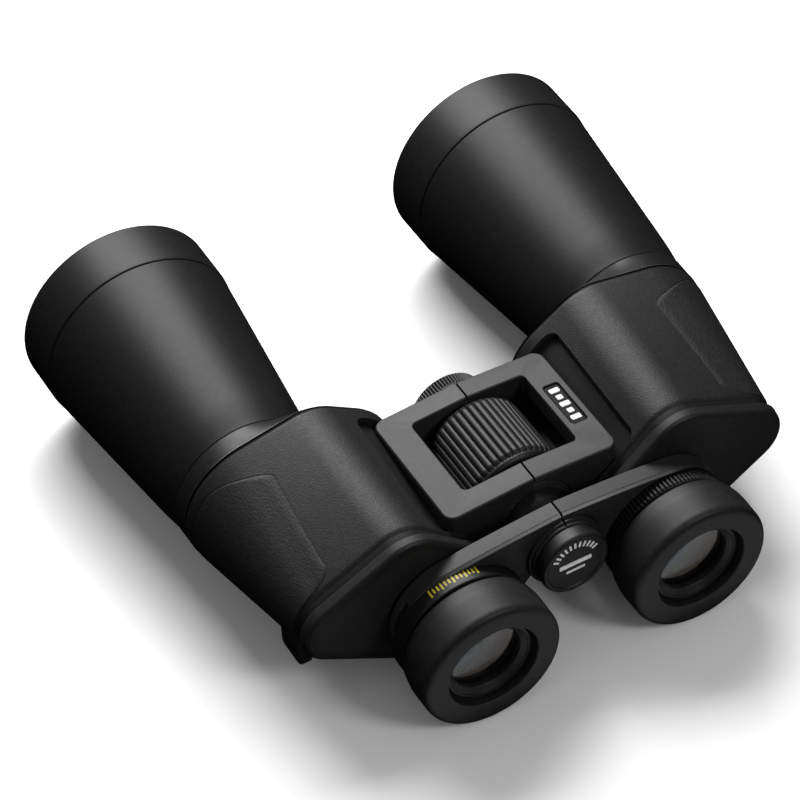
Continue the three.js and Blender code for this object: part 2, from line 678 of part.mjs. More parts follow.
function tripodSocket() {
  const inner = STUD_RADIUS + GAP;
  return tube(inner, ROD_RADIUS, TUBE_FRONT - SOCKET_LENGTH, TUBE_FRONT, undefined, SMALL_ROUND);
}

function capStud() {
  return rod(STUD_RADIUS, TUBE_FRONT - STUD_DEPTH, TRIPOD_CAP_REAR + STUD_SEAT, undefined, SMALL_ROUND);
}

function tripodCap() {
  const front = TRIPOD_CAP_REAR + TRIPOD_CAP_LENGTH;
  const body = ribbed([
    [TRIPOD_CAP_REAR, TRIPOD_CAP_RADIUS - 0.7, RIB_FADE],
    [TRIPOD_CAP_REAR + 0.8, TRIPOD_CAP_RADIUS, SMALL_RIB_DEPTH],
    [front - 0.8, TRIPOD_CAP_RADIUS, SMALL_RIB_DEPTH],
    [front, TRIPOD_CAP_RADIUS - 0.7, RIB_FADE],
  ], CAP_RIBS, 2);
  const dish = rod(TRIPOD_CAP_RADIUS - 2.2, front - 0.8, front + 1);
  const seat = rod(STUD_RADIUS + GAP, TRIPOD_CAP_REAR - 1, TRIPOD_CAP_REAR + STUD_SEAT + GAP);
  return body.subtract(seat).subtract(dish);
}

// ---- Eyepiece bridge ----

const HUB_SPLIT = (HUB_REAR + ARM_FRONT) / 2;
const LEFT_HUB = [HUB_REAR, HUB_SPLIT - GAP / 2];
const RIGHT_HUB = [HUB_SPLIT + GAP / 2, ARM_FRONT];
const HUB_RADIUS = 12.2;

// One arm, drawn on the right-hand side: a hub on the focus rod, a beam and a ring on the ocular tube.
function eyepieceArm([hubRear, hubFront], [otherRear, otherFront]) {
  const outline = new THREE.Shape();
  const shoulder = { x: EYEPIECE_AXIS.x - ARM_SHOULDER, z: EYEPIECE_AXIS.z + ARM_RING_RADIUS + 1.95 };
  outline.moveTo(HALF_SEAM, ARM_TOP);
  outline.lineTo(HALF_SEAM, KNUCKLE_RADIUS / 2);
  outline.lineTo(KNUCKLE_RADIUS / 2, 0);
  outline.lineTo(EYEPIECE_AXIS.x - ARM_RING_RADIUS + 2, EYEPIECE_AXIS.z);
  outline.lineTo(EYEPIECE_AXIS.x + ARM_SHOULDER, EYEPIECE_AXIS.z + ARM_RING_RADIUS - 1.3);
  outline.lineTo(shoulder.x, shoulder.z);
  outline.closePath();
  const depth = ARM_FRONT - ARM_REAR;
  const beam = solid(extruded(outline, depth, -ARM_FRONT, ALONG_X, ALONG_Z));
  const ring = rod(ARM_RING_RADIUS, ARM_RING_REAR, ARM_FRONT, EYEPIECE_AXIS);
  const ringSpace = rod(RING_OUTER + 2 * GAP, ARM_REAR - 5, ARM_RING_REAR, EYEPIECE_AXIS);
  const bore = rod(OCULAR_NECK + GAP, ARM_REAR - 5, ARM_FRONT + 1, EYEPIECE_AXIS);
  return beam.subtract(ringSpace)
    .add(ring)
    .subtract(rod(HUB_RADIUS + GAP, otherRear - GAP, otherFront + GAP))
    .add(rod(HUB_RADIUS, hubRear, hubFront))
    .subtract(bore)
    .subtract(rod(ROD_RADIUS + GAP, HUB_REAR - 1, ARM_FRONT + 1));
}

function endCap() {
  const front = HUB_REAR - GAP;
  return turned([
    [0, CAP_REAR + 0.6],
    [CAP_RADIUS - 1.7, CAP_REAR + 0.6],
    [CAP_RADIUS - 1.3, CAP_REAR],
    ...roundedEdge(CAP_RADIUS - 0.8, CAP_REAR + 0.8, 0.8, -90, 0),
    [CAP_RADIUS, front],
    [0, front],
  ]);
}

// ---- Eyepiece pieces, right-hand side ----

const OCULAR_REAR = EYECUP_WALL + GAP;
const LENS_SEAT = 9.8;
const NECK_WALL = 1.4; // of the ocular tube's neck
const EYE_LENS = { rear: 6.6, rearCurve: -60, frontCurve: 900 };
const FIELD_LENS = { rear: 30, front: 33, curve: 40 };

function ocularTube() {
  return turned([
    [BARREL_BORE, OCULAR_REAR],
    [OCULAR_RADIUS, OCULAR_REAR],
    [OCULAR_RADIUS, RING_FRONT],
    [OCULAR_NECK, RING_FRONT],
    [OCULAR_NECK, OCULAR_FRONT],
    [OCULAR_NECK - NECK_WALL, OCULAR_FRONT],
    [OCULAR_NECK - NECK_WALL, LENS_SEAT],
    [BARREL_BORE, LENS_SEAT],
  ], EYEPIECE_AXIS);
}

function eyeLens() {
  const { rear, rearCurve, frontCurve } = EYE_LENS;
  return lens(EYE_LENS_RADIUS, rear, rearCurve, LENS_SEAT - GAP, frontCurve, EYEPIECE_AXIS);
}

function fieldLens() {
  const { rear, front, curve } = FIELD_LENS;
  return lens(OCULAR_NECK - NECK_WALL - GAP, rear, -curve, front, curve, EYEPIECE_AXIS);
}

const EYE_BEZEL = { rear: 2.9, bevelEnd: 4.4, front: 6, land: 0.9 };

// The bezel that holds the eye lens, bevelled towards the glass.
function eyeRetainer() {
  const outer = BARREL_BORE - GAP;
  const { rear, bevelEnd, front, land } = EYE_BEZEL;
  return turned([
    [EYE_LENS_VISIBLE, front],
    [EYE_LENS_VISIBLE, bevelEnd],
    [outer - land, rear],
    [outer, rear],
    [outer, front],
  ], EYEPIECE_AXIS);
}

const TWIST_INNER = OCULAR_RADIUS + GAP;
const EYECUP_INNER = TWIST_INNER + TWIST_WALL + GAP;

// The ring inside the eyecup that turns with it while the cup screws out.
function twistRing() {
  return tube(TWIST_INNER, TWIST_INNER + TWIST_WALL, OCULAR_REAR, EYECUP_LENGTH, EYEPIECE_AXIS);
}

function eyecup() {
  return turned([
    ...roundedEdge(EYECUP_HOLE + 1, 1, 1, 180, 270),
    ...roundedEdge(EYECUP_RADIUS - EYECUP_EDGE, EYECUP_EDGE, EYECUP_EDGE, -90, 0),
    [EYECUP_RADIUS, EYECUP_LENGTH * 0.65],
    [EYECUP_RADIUS - 0.7, EYECUP_LENGTH - 0.8],
    [EYECUP_RADIUS - 1.4, EYECUP_LENGTH],
    [EYECUP_INNER, EYECUP_LENGTH],
    [EYECUP_INNER, EYECUP_WALL],
    [EYECUP_HOLE, EYECUP_WALL],
  ], EYEPIECE_AXIS);
}

function plainRing() {
  const outer = RING_OUTER + 0.3;
  return turned([
    [TWIST_INNER, RING_REAR],
    [outer - 0.5, RING_REAR],
    [outer, RING_REAR + 0.5],
    [outer, RING_FRONT - 0.5],
    [outer - 0.5, RING_FRONT],
    [TWIST_INNER, RING_FRONT],
  ], EYEPIECE_AXIS);
}

function dioptreRing() {
  const body = ribbed([
    [RING_REAR, RING_OUTER - 0.5, RIB_FADE],
    [RING_REAR + 0.6, RING_OUTER, SMALL_RIB_DEPTH],
    [RING_FRONT - 0.6, RING_OUTER - 0.4, SMALL_RIB_DEPTH],
    [RING_FRONT, RING_OUTER - 0.9, RIB_FADE],
  ], DIOPTRE_RIBS, 2, EYEPIECE_AXIS);
  return body.subtract(rod(TWIST_INNER, RING_REAR - 1, RING_FRONT + 1, EYEPIECE_AXIS));
}

// ---- Materials ----

const FINISHES = {
  armour: { color: 0x1c1c1e, roughness: 0.78, metalness: 0 },
  pad: { color: 0x202022, roughness: 0.85, metalness: 0 },
  paint: { color: 0x1a1a1c, roughness: 0.5, metalness: 0.1 },
  frame: { color: 0x3b3c3e, roughness: 0.45, metalness: 0.3 },
  casting: { color: 0x2b2c2e, roughness: 0.6, metalness: 0.6 },
  rubber: { color: 0x161617, roughness: 0.7, metalness: 0 },
  plastic: { color: 0x141415, roughness: 0.4, metalness: 0 },
  steel: { color: 0x9a9da0, roughness: 0.3, metalness: 1 },
  brass: { color: 0xb08d4a, roughness: 0.35, metalness: 1 },
  glass: { color: 0x8fb3a8, roughness: 0.05, metalness: 0 },
  badge: { color: 0x0e0e10, roughness: 0.35, metalness: 0 },
};

// ---- Assembly ----

const pieces = new THREE.Group();

// Adds a solid as a named mesh. A left-hand piece is the mirror image of the one drawn.
function place(name, body, finish, mirror = false) {
  const { vertProperties, triVerts } = body.getMesh();
  const geometry = new THREE.BufferGeometry();
  geometry.setAttribute('position', new THREE.BufferAttribute(new Float32Array(vertProperties), 3));
  const corners = Array.from(triVerts);
  geometry.setIndex(mirror ? corners.reverse() : corners);
  if (mirror) geometry.scale(-1, 1, 1);
  geometry.computeVertexNormals();
  const mesh = new THREE.Mesh(geometry, new THREE.MeshStandardMaterial(FINISHES[finish]));
  mesh.name = name;
  pieces.add(mesh);
}

// Pieces that are the same on both sides.
const PAIRED = [
  ['armour', armour(), 'armour'],
  ['grip_pad', gripPad(), 'pad'],
  ['prism_housing', casting(), 'casting'],
  ['rear_cover', rearCover(), 'paint'],
  ['front_collar', frontCollar(), 'plastic'],
  ['strap_lug', strapLug(), 'paint'],
  ['prism_shelf', prismShelf(), 'casting'],
  ['rear_prism', rearPrism(), 'glass'],
  ['front_prism', frontPrism(), 'glass'],
  ['barrel', barrel(), 'paint'],
  ['objective_ring', objectiveRing(), 'paint'],
  ['objective_cell', objectiveCell(), 'casting'],
  ['objective_retainer', objectiveRetainer(), 'plastic'],
  ['crown_lens', crownLens(), 'glass'],
  ['flint_lens', flintLens(), 'glass'],
  ['ocular_tube', ocularTube(), 'casting'],
  ['eye_lens', eyeLens(), 'glass'],
  ['field_lens', fieldLens(), 'glass'],
  ['eye_retainer', eyeRetainer(), 'plastic'],
  ['twist_ring', twistRing(), 'plastic'],
  ['eyecup', eyecup(), 'rubber'],
];
for (const [name, body, finish] of PAIRED) {
  place(`left_${name}`, body, finish, true);
  place(`right_${name}`, body, finish);
}

place('left_bridge_frame', bridgeFrame(LEFT_KNUCKLES, RIGHT_KNUCKLES), 'frame', true);
place('right_bridge_frame', rightBridgeFrame(), 'frame');
place('badge_plate', badgePlate(), 'badge');
place('left_eyepiece_arm', eyepieceArm(LEFT_HUB, RIGHT_HUB), 'frame', true);
place('right_eyepiece_arm', eyepieceArm(RIGHT_HUB, LEFT_HUB), 'frame');
place('left_plain_ring', plainRing(), 'plastic', true);
place('dioptre_ring', dioptreRing(), 'plastic');
place('hinge_tube', hingeTube(), 'steel');
place('hinge_collar', hingeCollar(), 'plastic');
place('focus_rod', focusRod(), 'steel');
place('rear_thrust_washer', thrustWasher(WINDOW_REAR + GAP), 'brass');
place('front_thrust_washer', thrustWasher(WINDOW_FRONT - WASHER_THICKNESS - GAP), 'brass');
place('wheel_core', wheelCore(), 'plastic');
place('focus_wheel', focusWheel(), 'rubber');
place('tripod_socket', tripodSocket(), 'brass');
place('cap_stud', capStud(), 'steel');
place('tripod_cap', tripodCap(), 'plastic');
place('end_cap', endCap(), 'plastic');

// The eyecups or the objective rings touch the ground first, whichever reach lower.
const REST_HEIGHT = Math.max(EYECUP_RADIUS - EYEPIECE_AXIS.z, RING_RADIUS - OBJECTIVE_AXIS.z);
pieces.position.set(0, -OVERALL_LENGTH / 2, REST_HEIGHT);

const binoculars = new THREE.Group();
binoculars.add(pieces);
export default binoculars;
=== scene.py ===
"""Porro-prism binoculars: the finished look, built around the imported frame.

Shapes are drawn in millimetres from the hinge axis (x = 0, z = 0) and the rear face of the eyecups (y = 0),
with x to the user's right, y forwards and z up. Every place comes from the frame's own boxes.
"""

import json
import math

import bmesh
import bpy
import numpy as np
from mathutils import Matrix, Vector

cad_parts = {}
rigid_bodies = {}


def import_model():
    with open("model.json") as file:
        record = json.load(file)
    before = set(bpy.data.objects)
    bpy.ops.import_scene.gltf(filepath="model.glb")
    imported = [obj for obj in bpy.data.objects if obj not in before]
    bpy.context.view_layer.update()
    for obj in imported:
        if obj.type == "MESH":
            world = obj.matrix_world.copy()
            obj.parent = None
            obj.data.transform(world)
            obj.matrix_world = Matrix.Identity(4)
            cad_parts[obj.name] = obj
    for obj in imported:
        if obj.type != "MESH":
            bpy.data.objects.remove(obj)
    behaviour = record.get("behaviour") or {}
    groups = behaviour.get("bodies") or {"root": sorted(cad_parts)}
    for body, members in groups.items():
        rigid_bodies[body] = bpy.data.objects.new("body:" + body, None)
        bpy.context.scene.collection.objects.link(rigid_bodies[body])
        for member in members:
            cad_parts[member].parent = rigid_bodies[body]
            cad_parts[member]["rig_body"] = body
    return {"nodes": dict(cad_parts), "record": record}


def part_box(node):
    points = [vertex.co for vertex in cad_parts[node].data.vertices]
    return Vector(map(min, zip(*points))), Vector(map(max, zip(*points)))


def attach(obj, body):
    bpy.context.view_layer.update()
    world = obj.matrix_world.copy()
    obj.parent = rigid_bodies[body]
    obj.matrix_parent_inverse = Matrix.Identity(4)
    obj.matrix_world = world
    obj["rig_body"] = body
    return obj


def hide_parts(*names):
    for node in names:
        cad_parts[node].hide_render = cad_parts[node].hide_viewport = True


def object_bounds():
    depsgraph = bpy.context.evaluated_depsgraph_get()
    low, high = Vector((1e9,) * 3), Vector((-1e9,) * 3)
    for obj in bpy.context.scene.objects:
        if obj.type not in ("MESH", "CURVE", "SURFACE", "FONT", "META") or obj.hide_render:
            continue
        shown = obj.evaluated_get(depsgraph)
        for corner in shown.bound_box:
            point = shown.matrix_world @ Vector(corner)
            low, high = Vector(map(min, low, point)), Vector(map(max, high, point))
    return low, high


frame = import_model()
CAD_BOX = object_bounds()

MM = 0.001
GAP = 0.3  # between two pieces that touch or slide
HALF_SEAM = 0.35  # half of the seam between the two halves of the bridge
AROUND = 160  # steps round an outside surface
ARC = 6  # steps in a rounded corner


# ---- Places, from the frame ----


def centre(node):
    low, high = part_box(node)
    return (low + high) / 2


ORIGIN = Vector((0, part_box("left_eyecup")[0].y, centre("hinge_tube").z))


def span(node):
    """A CAD node's lowest and highest corners in the drawing's millimetres."""
    low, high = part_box(node)
    return (low - ORIGIN) / MM, (high - ORIGIN) / MM


def axis_of(node):
    middle = (centre(node) - ORIGIN) / MM
    return middle.x, middle.z


def reach(node):
    """(outer radius, rear y, front y) of a round node that lies along Y."""
    low, high = span(node)
    return (high.x - low.x) / 2, low.y, high.y


EYE = axis_of("right_eyecup")
OBJECTIVE = axis_of("right_objective_ring")
HINGE = (0.0, 0.0)
SIDES = (("left", -1), ("right", 1))


# ---- Shapes: a pair of (corners, faces) ----


def outward(shape):
    """The same closed shape with every face pointing out."""
    corners, faces = shape
    volume = 0.0
    for face in faces:
        a = corners[face[0]]
        for b, c in zip(face[1:-1], face[2:]):
            volume += np.dot(a, np.cross(corners[b], corners[c]))
    return shape if volume > 0 else (corners, [face[::-1] for face in faces])


def mirrored(shape):
    corners, faces = shape
    return corners * np.array([-1.0, 1.0, 1.0]), [face[::-1] for face in faces]


def rounded(profile):
    """Turns each corner (radius, y, fillet) into an arc of that fillet."""
    points = []
    count = len(profile)
    for i, corner in enumerate(profile):
        here = np.array(corner[:2], float)
        depth = corner[3] if len(corner) > 3 else 0.0
        fillet = corner[2] if len(corner) > 2 else 0.0
        if not fillet:
            points.append((here[0], here[1], depth))
            continue
        before = np.array(profile[i - 1][:2], float) - here
        after = np.array(profile[(i + 1) % count][:2], float) - here
        back = min(fillet, 0.48 * np.linalg.norm(before))
        ahead = min(fillet, 0.48 * np.linalg.norm(after))
        start = here + before / np.linalg.norm(before) * back
        end = here + after / np.linalg.norm(after) * ahead
        for t in np.linspace(0, 1, ARC + 1):
            point = (1 - t) ** 2 * start + 2 * t * (1 - t) * here + t * t * end
            points.append((point[0], point[1], depth))
    return points


def turned(profile, axis=HINGE, around=AROUND, groove=None):
    """A body of revolution about a line along Y. Each corner is (radius, y, fillet, rib depth).
    groove(angle) from 0 to 1 says how far a rib's surface drops there."""
    points = rounded(profile)
    angles = np.linspace(0, 2 * math.pi, around, endpoint=False)
    drop = np.array([groove(a) for a in angles]) if groove else np.zeros(around)
    corners, rows = [], []
    for radius, y, depth in points:
        if radius < 1e-6:
            rows.append([len(corners)])
            corners.append((axis[0], y, axis[1]))
            continue
        rows.append(list(range(len(corners), len(corners) + around)))
        size = radius - depth * drop
        corners += zip(axis[0] + size * np.cos(angles), np.full(around, y), axis[1] + size * np.sin(angles))
    closed = len(rows[0]) > 1
    pairs = list(zip(rows, rows[1:])) + ([(rows[-1], rows[0])] if closed else [])
    faces = []
    for one, two in pairs:
        for i in range(around):
            j = (i + 1) % around
            if len(one) == 1:
                faces.append([one[0], two[i], two[j]])
            elif len(two) == 1:
                faces.append([one[i], two[0], one[j]])
            else:
                faces.append([one[i], two[i], two[j], one[j]])
    return outward((np.array(corners), faces))


def rod(radius, rear, front, axis=HINGE, around=AROUND):
    return turned([(0, rear), (radius, rear), (radius, front), (0, front)], axis, around)


def tube(inner, outer, rear, front, axis=HINGE, edge=0.2, around=AROUND):
    return turned(
        [(inner, rear, edge), (outer, rear, edge), (outer, front, edge), (inner, front, edge)], axis, around
    )


def loops_to_solid(loops):
    """A closed solid through loops of equal length, with a flat fan at each end."""
    count = len(loops[0])
    corners = np.concatenate([np.asarray(loop, float) for loop in loops])
    faces = []
    for level in range(len(loops) - 1):
        a, b = level * count, (level + 1) * count
        faces += [[a + i, a + (i + 1) % count, b + (i + 1) % count, b + i] for i in range(count)]
    ends = [np.mean(loops[0], axis=0), np.mean(loops[-1], axis=0)]
    first, last = len(corners), len(corners) + 1
    corners = np.concatenate([corners, ends])
    tail = (len(loops) - 1) * count
    faces += [[first, (i + 1) % count, i] for i in range(count)]
    faces += [[last, tail + i, tail + (i + 1) % count] for i in range(count)]
    return outward((corners, faces))


def box(low, high):
    x0, y0, z0 = low
    x1, y1, z1 = high
    square = [(x0, y0), (x1, y0), (x1, y1), (x0, y1)]
    return loops_to_solid([[(x, y, z) for x, y in square] for z in (z0, z1)])


def rectangle(left, rear, right, front, corner, grow=0.0, steps=ARC):
    """The (x, y) points of a rectangle with rounded corners, moved outwards by grow."""
    middles = ((right, rear, -90), (right, front, 0), (left, front, 90), (left, rear, 180))
    points = []
    for x, y, start in middles:
        cx = x + (-corner if x == right else corner)
        cy = y + (-corner if y == front else corner)
        for step in range(steps + 1):
            angle = math.radians(start + 90 * step / steps)
            points.append((cx + (corner + grow) * math.cos(angle), cy + (corner + grow) * math.sin(angle)))
    return points


def stack(outline, levels):
    """Outlines in plan at each (z, grow), joined into a solid. outline(grow) gives the (x, y) points."""
    return loops_to_solid([[(x, y, z) for x, y in outline(grow)] for z, grow in levels])


def sheared(shape, slope):
    """The shape falling away from the hinge."""
    corners, faces = shape
    moved = corners.copy()
    moved[:, 2] -= moved[:, 0] * slope
    return moved, faces


def temporary(shape):
    mesh = bpy.data.meshes.new("temporary")
    mesh.from_pydata(np.asarray(shape[0]).tolist(), [], [list(map(int, face)) for face in shape[1]])
    thing = bpy.data.objects.new("temporary", mesh)
    bpy.context.scene.collection.objects.link(thing)
    return thing


def combined(base, *steps):
    """The base shape after each ("UNION" | "DIFFERENCE" | "INTERSECT", shape) in turn."""
    body = temporary(base)
    tools = [temporary(shape) for _, shape in steps]
    for (how, _), tool in zip(steps, tools):
        modifier = body.modifiers.new(how, "BOOLEAN")
        modifier.operation = how
        modifier.solver = "MANIFOLD"
        modifier.object = tool
    graph = bpy.context.evaluated_depsgraph_get()
    mesh = bpy.data.meshes.new_from_object(body.evaluated_get(graph))
    corners = np.zeros(len(mesh.vertices) * 3)
    mesh.vertices.foreach_get("co", corners)
    faces = [list(polygon.vertices) for polygon in mesh.polygons]
    for thing in [body, *tools]:
        data = thing.data
        bpy.data.objects.remove(thing)
        bpy.data.meshes.remove(data)
    bpy.data.meshes.remove(mesh)
    return corners.reshape(-1, 3), faces


# ---- The prism housing's outer form: a band drawn round four discs ----

HOUSING_REAR, HOUSING_FRONT = span("right_rear_cover")[0].y, span("right_armour")[1].y
HALF_STEP = ((EYE[0] - OBJECTIVE[0]) / 2, (EYE[1] - OBJECTIVE[1]) / 2)
TURN = (OBJECTIVE[0] + HALF_STEP[0] + HALF_STEP[1], OBJECTIVE[1] + HALF_STEP[1] - HALF_STEP[0])
DISCS = (  # (x, z, radius) at the rear and at the front
    ((EYE[0] + 0.8, EYE[1] + 1.2, 20.0), (EYE[0] + 0.8, EYE[1] + 1.2, 20.0)),
    ((TURN[0] - 4.3, TURN[1] - 9.9, 15.0), (TURN[0] - 2.8, TURN[1] - 9.9, 22.0)),
    ((TURN[0] + 0.7, TURN[1] - 0.8, 12.5), (TURN[0] + 3.7, TURN[1] - 0.8, 18.0)),
    ((OBJECTIVE[0] + 4.5, OBJECTIVE[1] + 0.3, 9.8), (OBJECTIVE[0], OBJECTIVE[1], 24.0)),
)
OUTLINE_STEPS = 300
ARMOUR = 2.0  # rubber over the casting
CASTING_WALL = 2.0
PAD_DEPTH = 1.0


def evenly(points, steps):
    """The closed line through the points as evenly spaced points."""
    points = np.concatenate([points, points[:1]])
    lengths = np.concatenate([[0], np.cumsum(np.linalg.norm(np.diff(points, axis=0), axis=1))])
    even = np.linspace(0, lengths[-1], steps, endpoint=False)
    return np.stack([np.interp(even, lengths, points[:, k]) for k in (0, 1)], axis=1)


def outline(y, grow=0.0, steps=OUTLINE_STEPS):
    """(x, z) points evenly spaced round the housing at y."""
    part = (y - HOUSING_REAR) / (HOUSING_FRONT - HOUSING_REAR)
    discs = np.array([[a + (b - a) * part for a, b in zip(rear, front)] for rear, front in DISCS])
    angles = np.linspace(0, 2 * math.pi, 720, endpoint=False) - math.pi / 2
    ways = np.stack([np.cos(angles), np.sin(angles)], axis=1)
    best = np.argmax(ways @ discs[:, :2].T + discs[:, 2], axis=1)
    return evenly(discs[best, :2] + (discs[best, 2:] + grow) * ways, steps)


def block(stations):
    """A solid with the housing's outline at each (y, grow)."""
    loops = []
    for y, grow in stations:
        ring = outline(y, grow)
        loops.append(np.stack([ring[:, 0], np.full(len(ring), y), ring[:, 1]], axis=1))
    return loops_to_solid(loops)


def even_block(rear, front, grow, steps=24):
    return block([(y, grow) for y in np.linspace(rear, front, steps)])


CASTING_OFFSET = -ARMOUR - GAP
INSIDE_OFFSET = CASTING_OFFSET - CASTING_WALL


# ---- Materials ----


class Finish:
    """A node material built step by step."""

    def __init__(self, name):
        self.material = bpy.data.materials.new(name)
        self.material.use_nodes = True
        self.tree = self.material.node_tree
        self.shader = self.tree.nodes["Principled BSDF"]
        self.place = self.tree.nodes.new("ShaderNodeTexCoord").outputs["Object"]

    def node(self, kind, **values):
        made = self.tree.nodes.new(kind)
        for key, value in values.items():
            if key in made.inputs:
                made.inputs[key].default_value = value
            else:
                setattr(made, key, value)
        return made

    def link(self, output, socket):
        self.tree.links.new(output, socket)

    def noise(self, scale, detail=3.0, roughness=0.5, stretch=(1, 1, 1)):
        mapping = self.node("ShaderNodeMapping")
        mapping.inputs["Scale"].default_value = stretch
        self.link(self.place, mapping.inputs["Vector"])
        noise = self.node("ShaderNodeTexNoise", Scale=scale, Detail=detail, Roughness=roughness)
        self.link(mapping.outputs["Vector"], noise.inputs["Vector"])
        return noise.outputs["Fac"]

    def pebbles(self, scale, stretch=(1, 1, 1)):
        """Rounded grains with soft valleys between them."""
        mapping = self.node("ShaderNodeMapping")
        mapping.inputs["Scale"].default_value = stretch
        self.link(self.place, mapping.inputs["Vector"])
        cells = self.node("ShaderNodeTexVoronoi", Scale=scale, Randomness=1.0)
        cells.feature = "SMOOTH_F1"
        self.link(mapping.outputs["Vector"], cells.inputs["Vector"])
        return cells.outputs["Distance"]

    def ramp(self, value, low, high, start=0.35, end=0.65):
        """A colour that runs from low to high as value runs from start to end."""
        ramp = self.node("ShaderNodeValToRGB")
        ramp.color_ramp.elements[0].position = start
        ramp.color_ramp.elements[1].position = end
        ramp.color_ramp.elements[0].color = (*low, 1)
        ramp.color_ramp.elements[1].color = (*high, 1)
        self.link(value, ramp.inputs["Fac"])
        return ramp.outputs["Color"]

    def spread(self, value, low, high):
        """A number that runs from low to high as value runs from 0.3 to 0.7."""
        made = self.node("ShaderNodeMapRange")
        for key, number in (("From Min", 0.3), ("From Max", 0.7), ("To Min", low), ("To Max", high)):
            made.inputs[key].default_value = number
        self.link(value, made.inputs["Value"])
        return made.outputs["Result"]

    def bump(self, height, depth, strength=1.0, invert=False):
        """Adds relief of the given depth in millimetres, on top of any relief already there."""
        bump = self.node("ShaderNodeBump", Strength=strength, Distance=depth * MM)
        bump.invert = invert
        self.link(height, bump.inputs["Height"])
        below = self.shader.inputs["Normal"].links
        if below:
            self.link(below[0].from_socket, bump.inputs["Normal"])
        self.link(bump.outputs["Normal"], self.shader.inputs["Normal"])

    def edges(self, colour, worn, amount):
        """Wear that shows the worn colour where the surface is sharply convex."""
        convex = self.node("ShaderNodeMapRange")
        for key, number in (("From Min", 0.53), ("From Max", 0.62), ("To Min", 0.0), ("To Max", amount)):
            convex.inputs[key].default_value = number
        geometry = self.node("ShaderNodeNewGeometry")
        self.link(geometry.outputs["Pointiness"], convex.inputs["Value"])
        mix = self.node("ShaderNodeMix", data_type="RGBA")
        self.link(convex.outputs["Result"], mix.inputs["Factor"])
        self.link(colour, mix.inputs["A"])
        mix.inputs["B"].default_value = (*worn, 1)
        return mix.outputs["Result"]

    def set(self, **values):
        for key, value in values.items():
            self.shader.inputs[key.replace("_", " ")].default_value = value


def grey(value, blue=1.06):
    return (value, value, value * blue)


def coated(name, dark, light, rough, grain, depth, shine, worn=None):
    """Paint or moulded plastic: blotchy tone, uneven gloss and a fine grain."""
    made = Finish(name)
    tone = made.ramp(made.noise(420, 4), grey(dark), grey(light))
    if worn:
        tone = made.edges(tone, grey(worn, 1.0), 0.5)
    made.link(tone, made.shader.inputs["Base Color"])
    made.link(made.spread(made.noise(500, 3), rough - 0.012, rough + 0.012), made.shader.inputs["Roughness"])
    made.bump(made.noise(grain, 2, 0.6), depth)
    made.set(Specular_IOR_Level=shine)
    return made


def leatherette(name, dark, light, rough, grain, depth, shine, stretch=(1, 1, 1)):
    """Moulded rubber with pebbled grain."""
    made = Finish(name)
    tone = made.ramp(made.noise(520, 5), grey(dark), grey(light))
    made.link(tone, made.shader.inputs["Base Color"])
    made.link(made.spread(made.noise(600, 3), rough - 0.03, rough + 0.03), made.shader.inputs["Roughness"])
    made.bump(made.pebbles(grain, stretch), depth, invert=True)
    made.set(Specular_IOR_Level=shine)
    return made


def metal(name, low, high, rough, grain):
    """Turned or cast metal, with fine marks across it."""
    made = Finish(name)
    made.link(made.ramp(made.noise(200, 4), low, high), made.shader.inputs["Base Color"])
    made.link(made.spread(made.noise(400, 4), rough - 0.08, rough + 0.08), made.shader.inputs["Roughness"])
    made.bump(made.noise(grain, 3, 0.6, (1, 6, 1)), 0.02)
    made.set(Metallic=1.0)
    return made


def glass(name, tint, film, painted_reflection_film=None, axis=HINGE):
    """A coated lens: mostly clear, with the coloured reflection of its thin coating (nanometres).
    With a second film thickness, the coating is that thick within an arc at the upper left of the axis: a
    painted reflection, a reflection of another colour fixed to that part of the lens."""
    made = Finish(name)
    tints = made.ramp(made.noise(30, 2), tint, tuple(c * 0.97 for c in tint))
    made.link(tints, made.shader.inputs["Base Color"])
    made.link(made.spread(made.noise(60, 2), 0.02, 0.04), made.shader.inputs["Roughness"])
    made.set(IOR=1.52, Transmission_Weight=1.0, Thin_Film_IOR=1.38, Thin_Film_Thickness=film)
    # Painted reflection: a thicker coating in an arc at the upper left gives the lens a reflection of
    # another colour there.
    if painted_reflection_film:
        away = made.node("ShaderNodeVectorMath", operation="DISTANCE")
        flat = made.node("ShaderNodeVectorMath", operation="MULTIPLY")
        made.link(made.place, flat.inputs[0])
        flat.inputs[1].default_value = (1, 0, 1)
        made.link(flat.outputs["Vector"], away.inputs[0])
        corner = ORIGIN + Vector((axis[0] - 9, 0, axis[1] + 9)) * MM
        away.inputs[1].default_value = (corner.x, 0, corner.z)
        painted_reflection_zone = made.node("ShaderNodeMapRange", interpolation_type="SMOOTHSTEP")
        limits = {"From Min": 0.0105, "From Max": 0.0145, "To Min": painted_reflection_film, "To Max": film}
        for key, number in limits.items():
            painted_reflection_zone.inputs[key].default_value = number
        made.link(away.outputs["Value"], painted_reflection_zone.inputs["Value"])
        made.link(painted_reflection_zone.outputs["Result"], made.shader.inputs["Thin Film Thickness"])
    return made


def marking(name, colour):
    made = Finish(name)
    worn = tuple(c * 0.8 for c in colour)
    made.link(made.ramp(made.noise(700, 3), worn, colour), made.shader.inputs["Base Color"])
    made.set(Roughness=0.5)
    return made


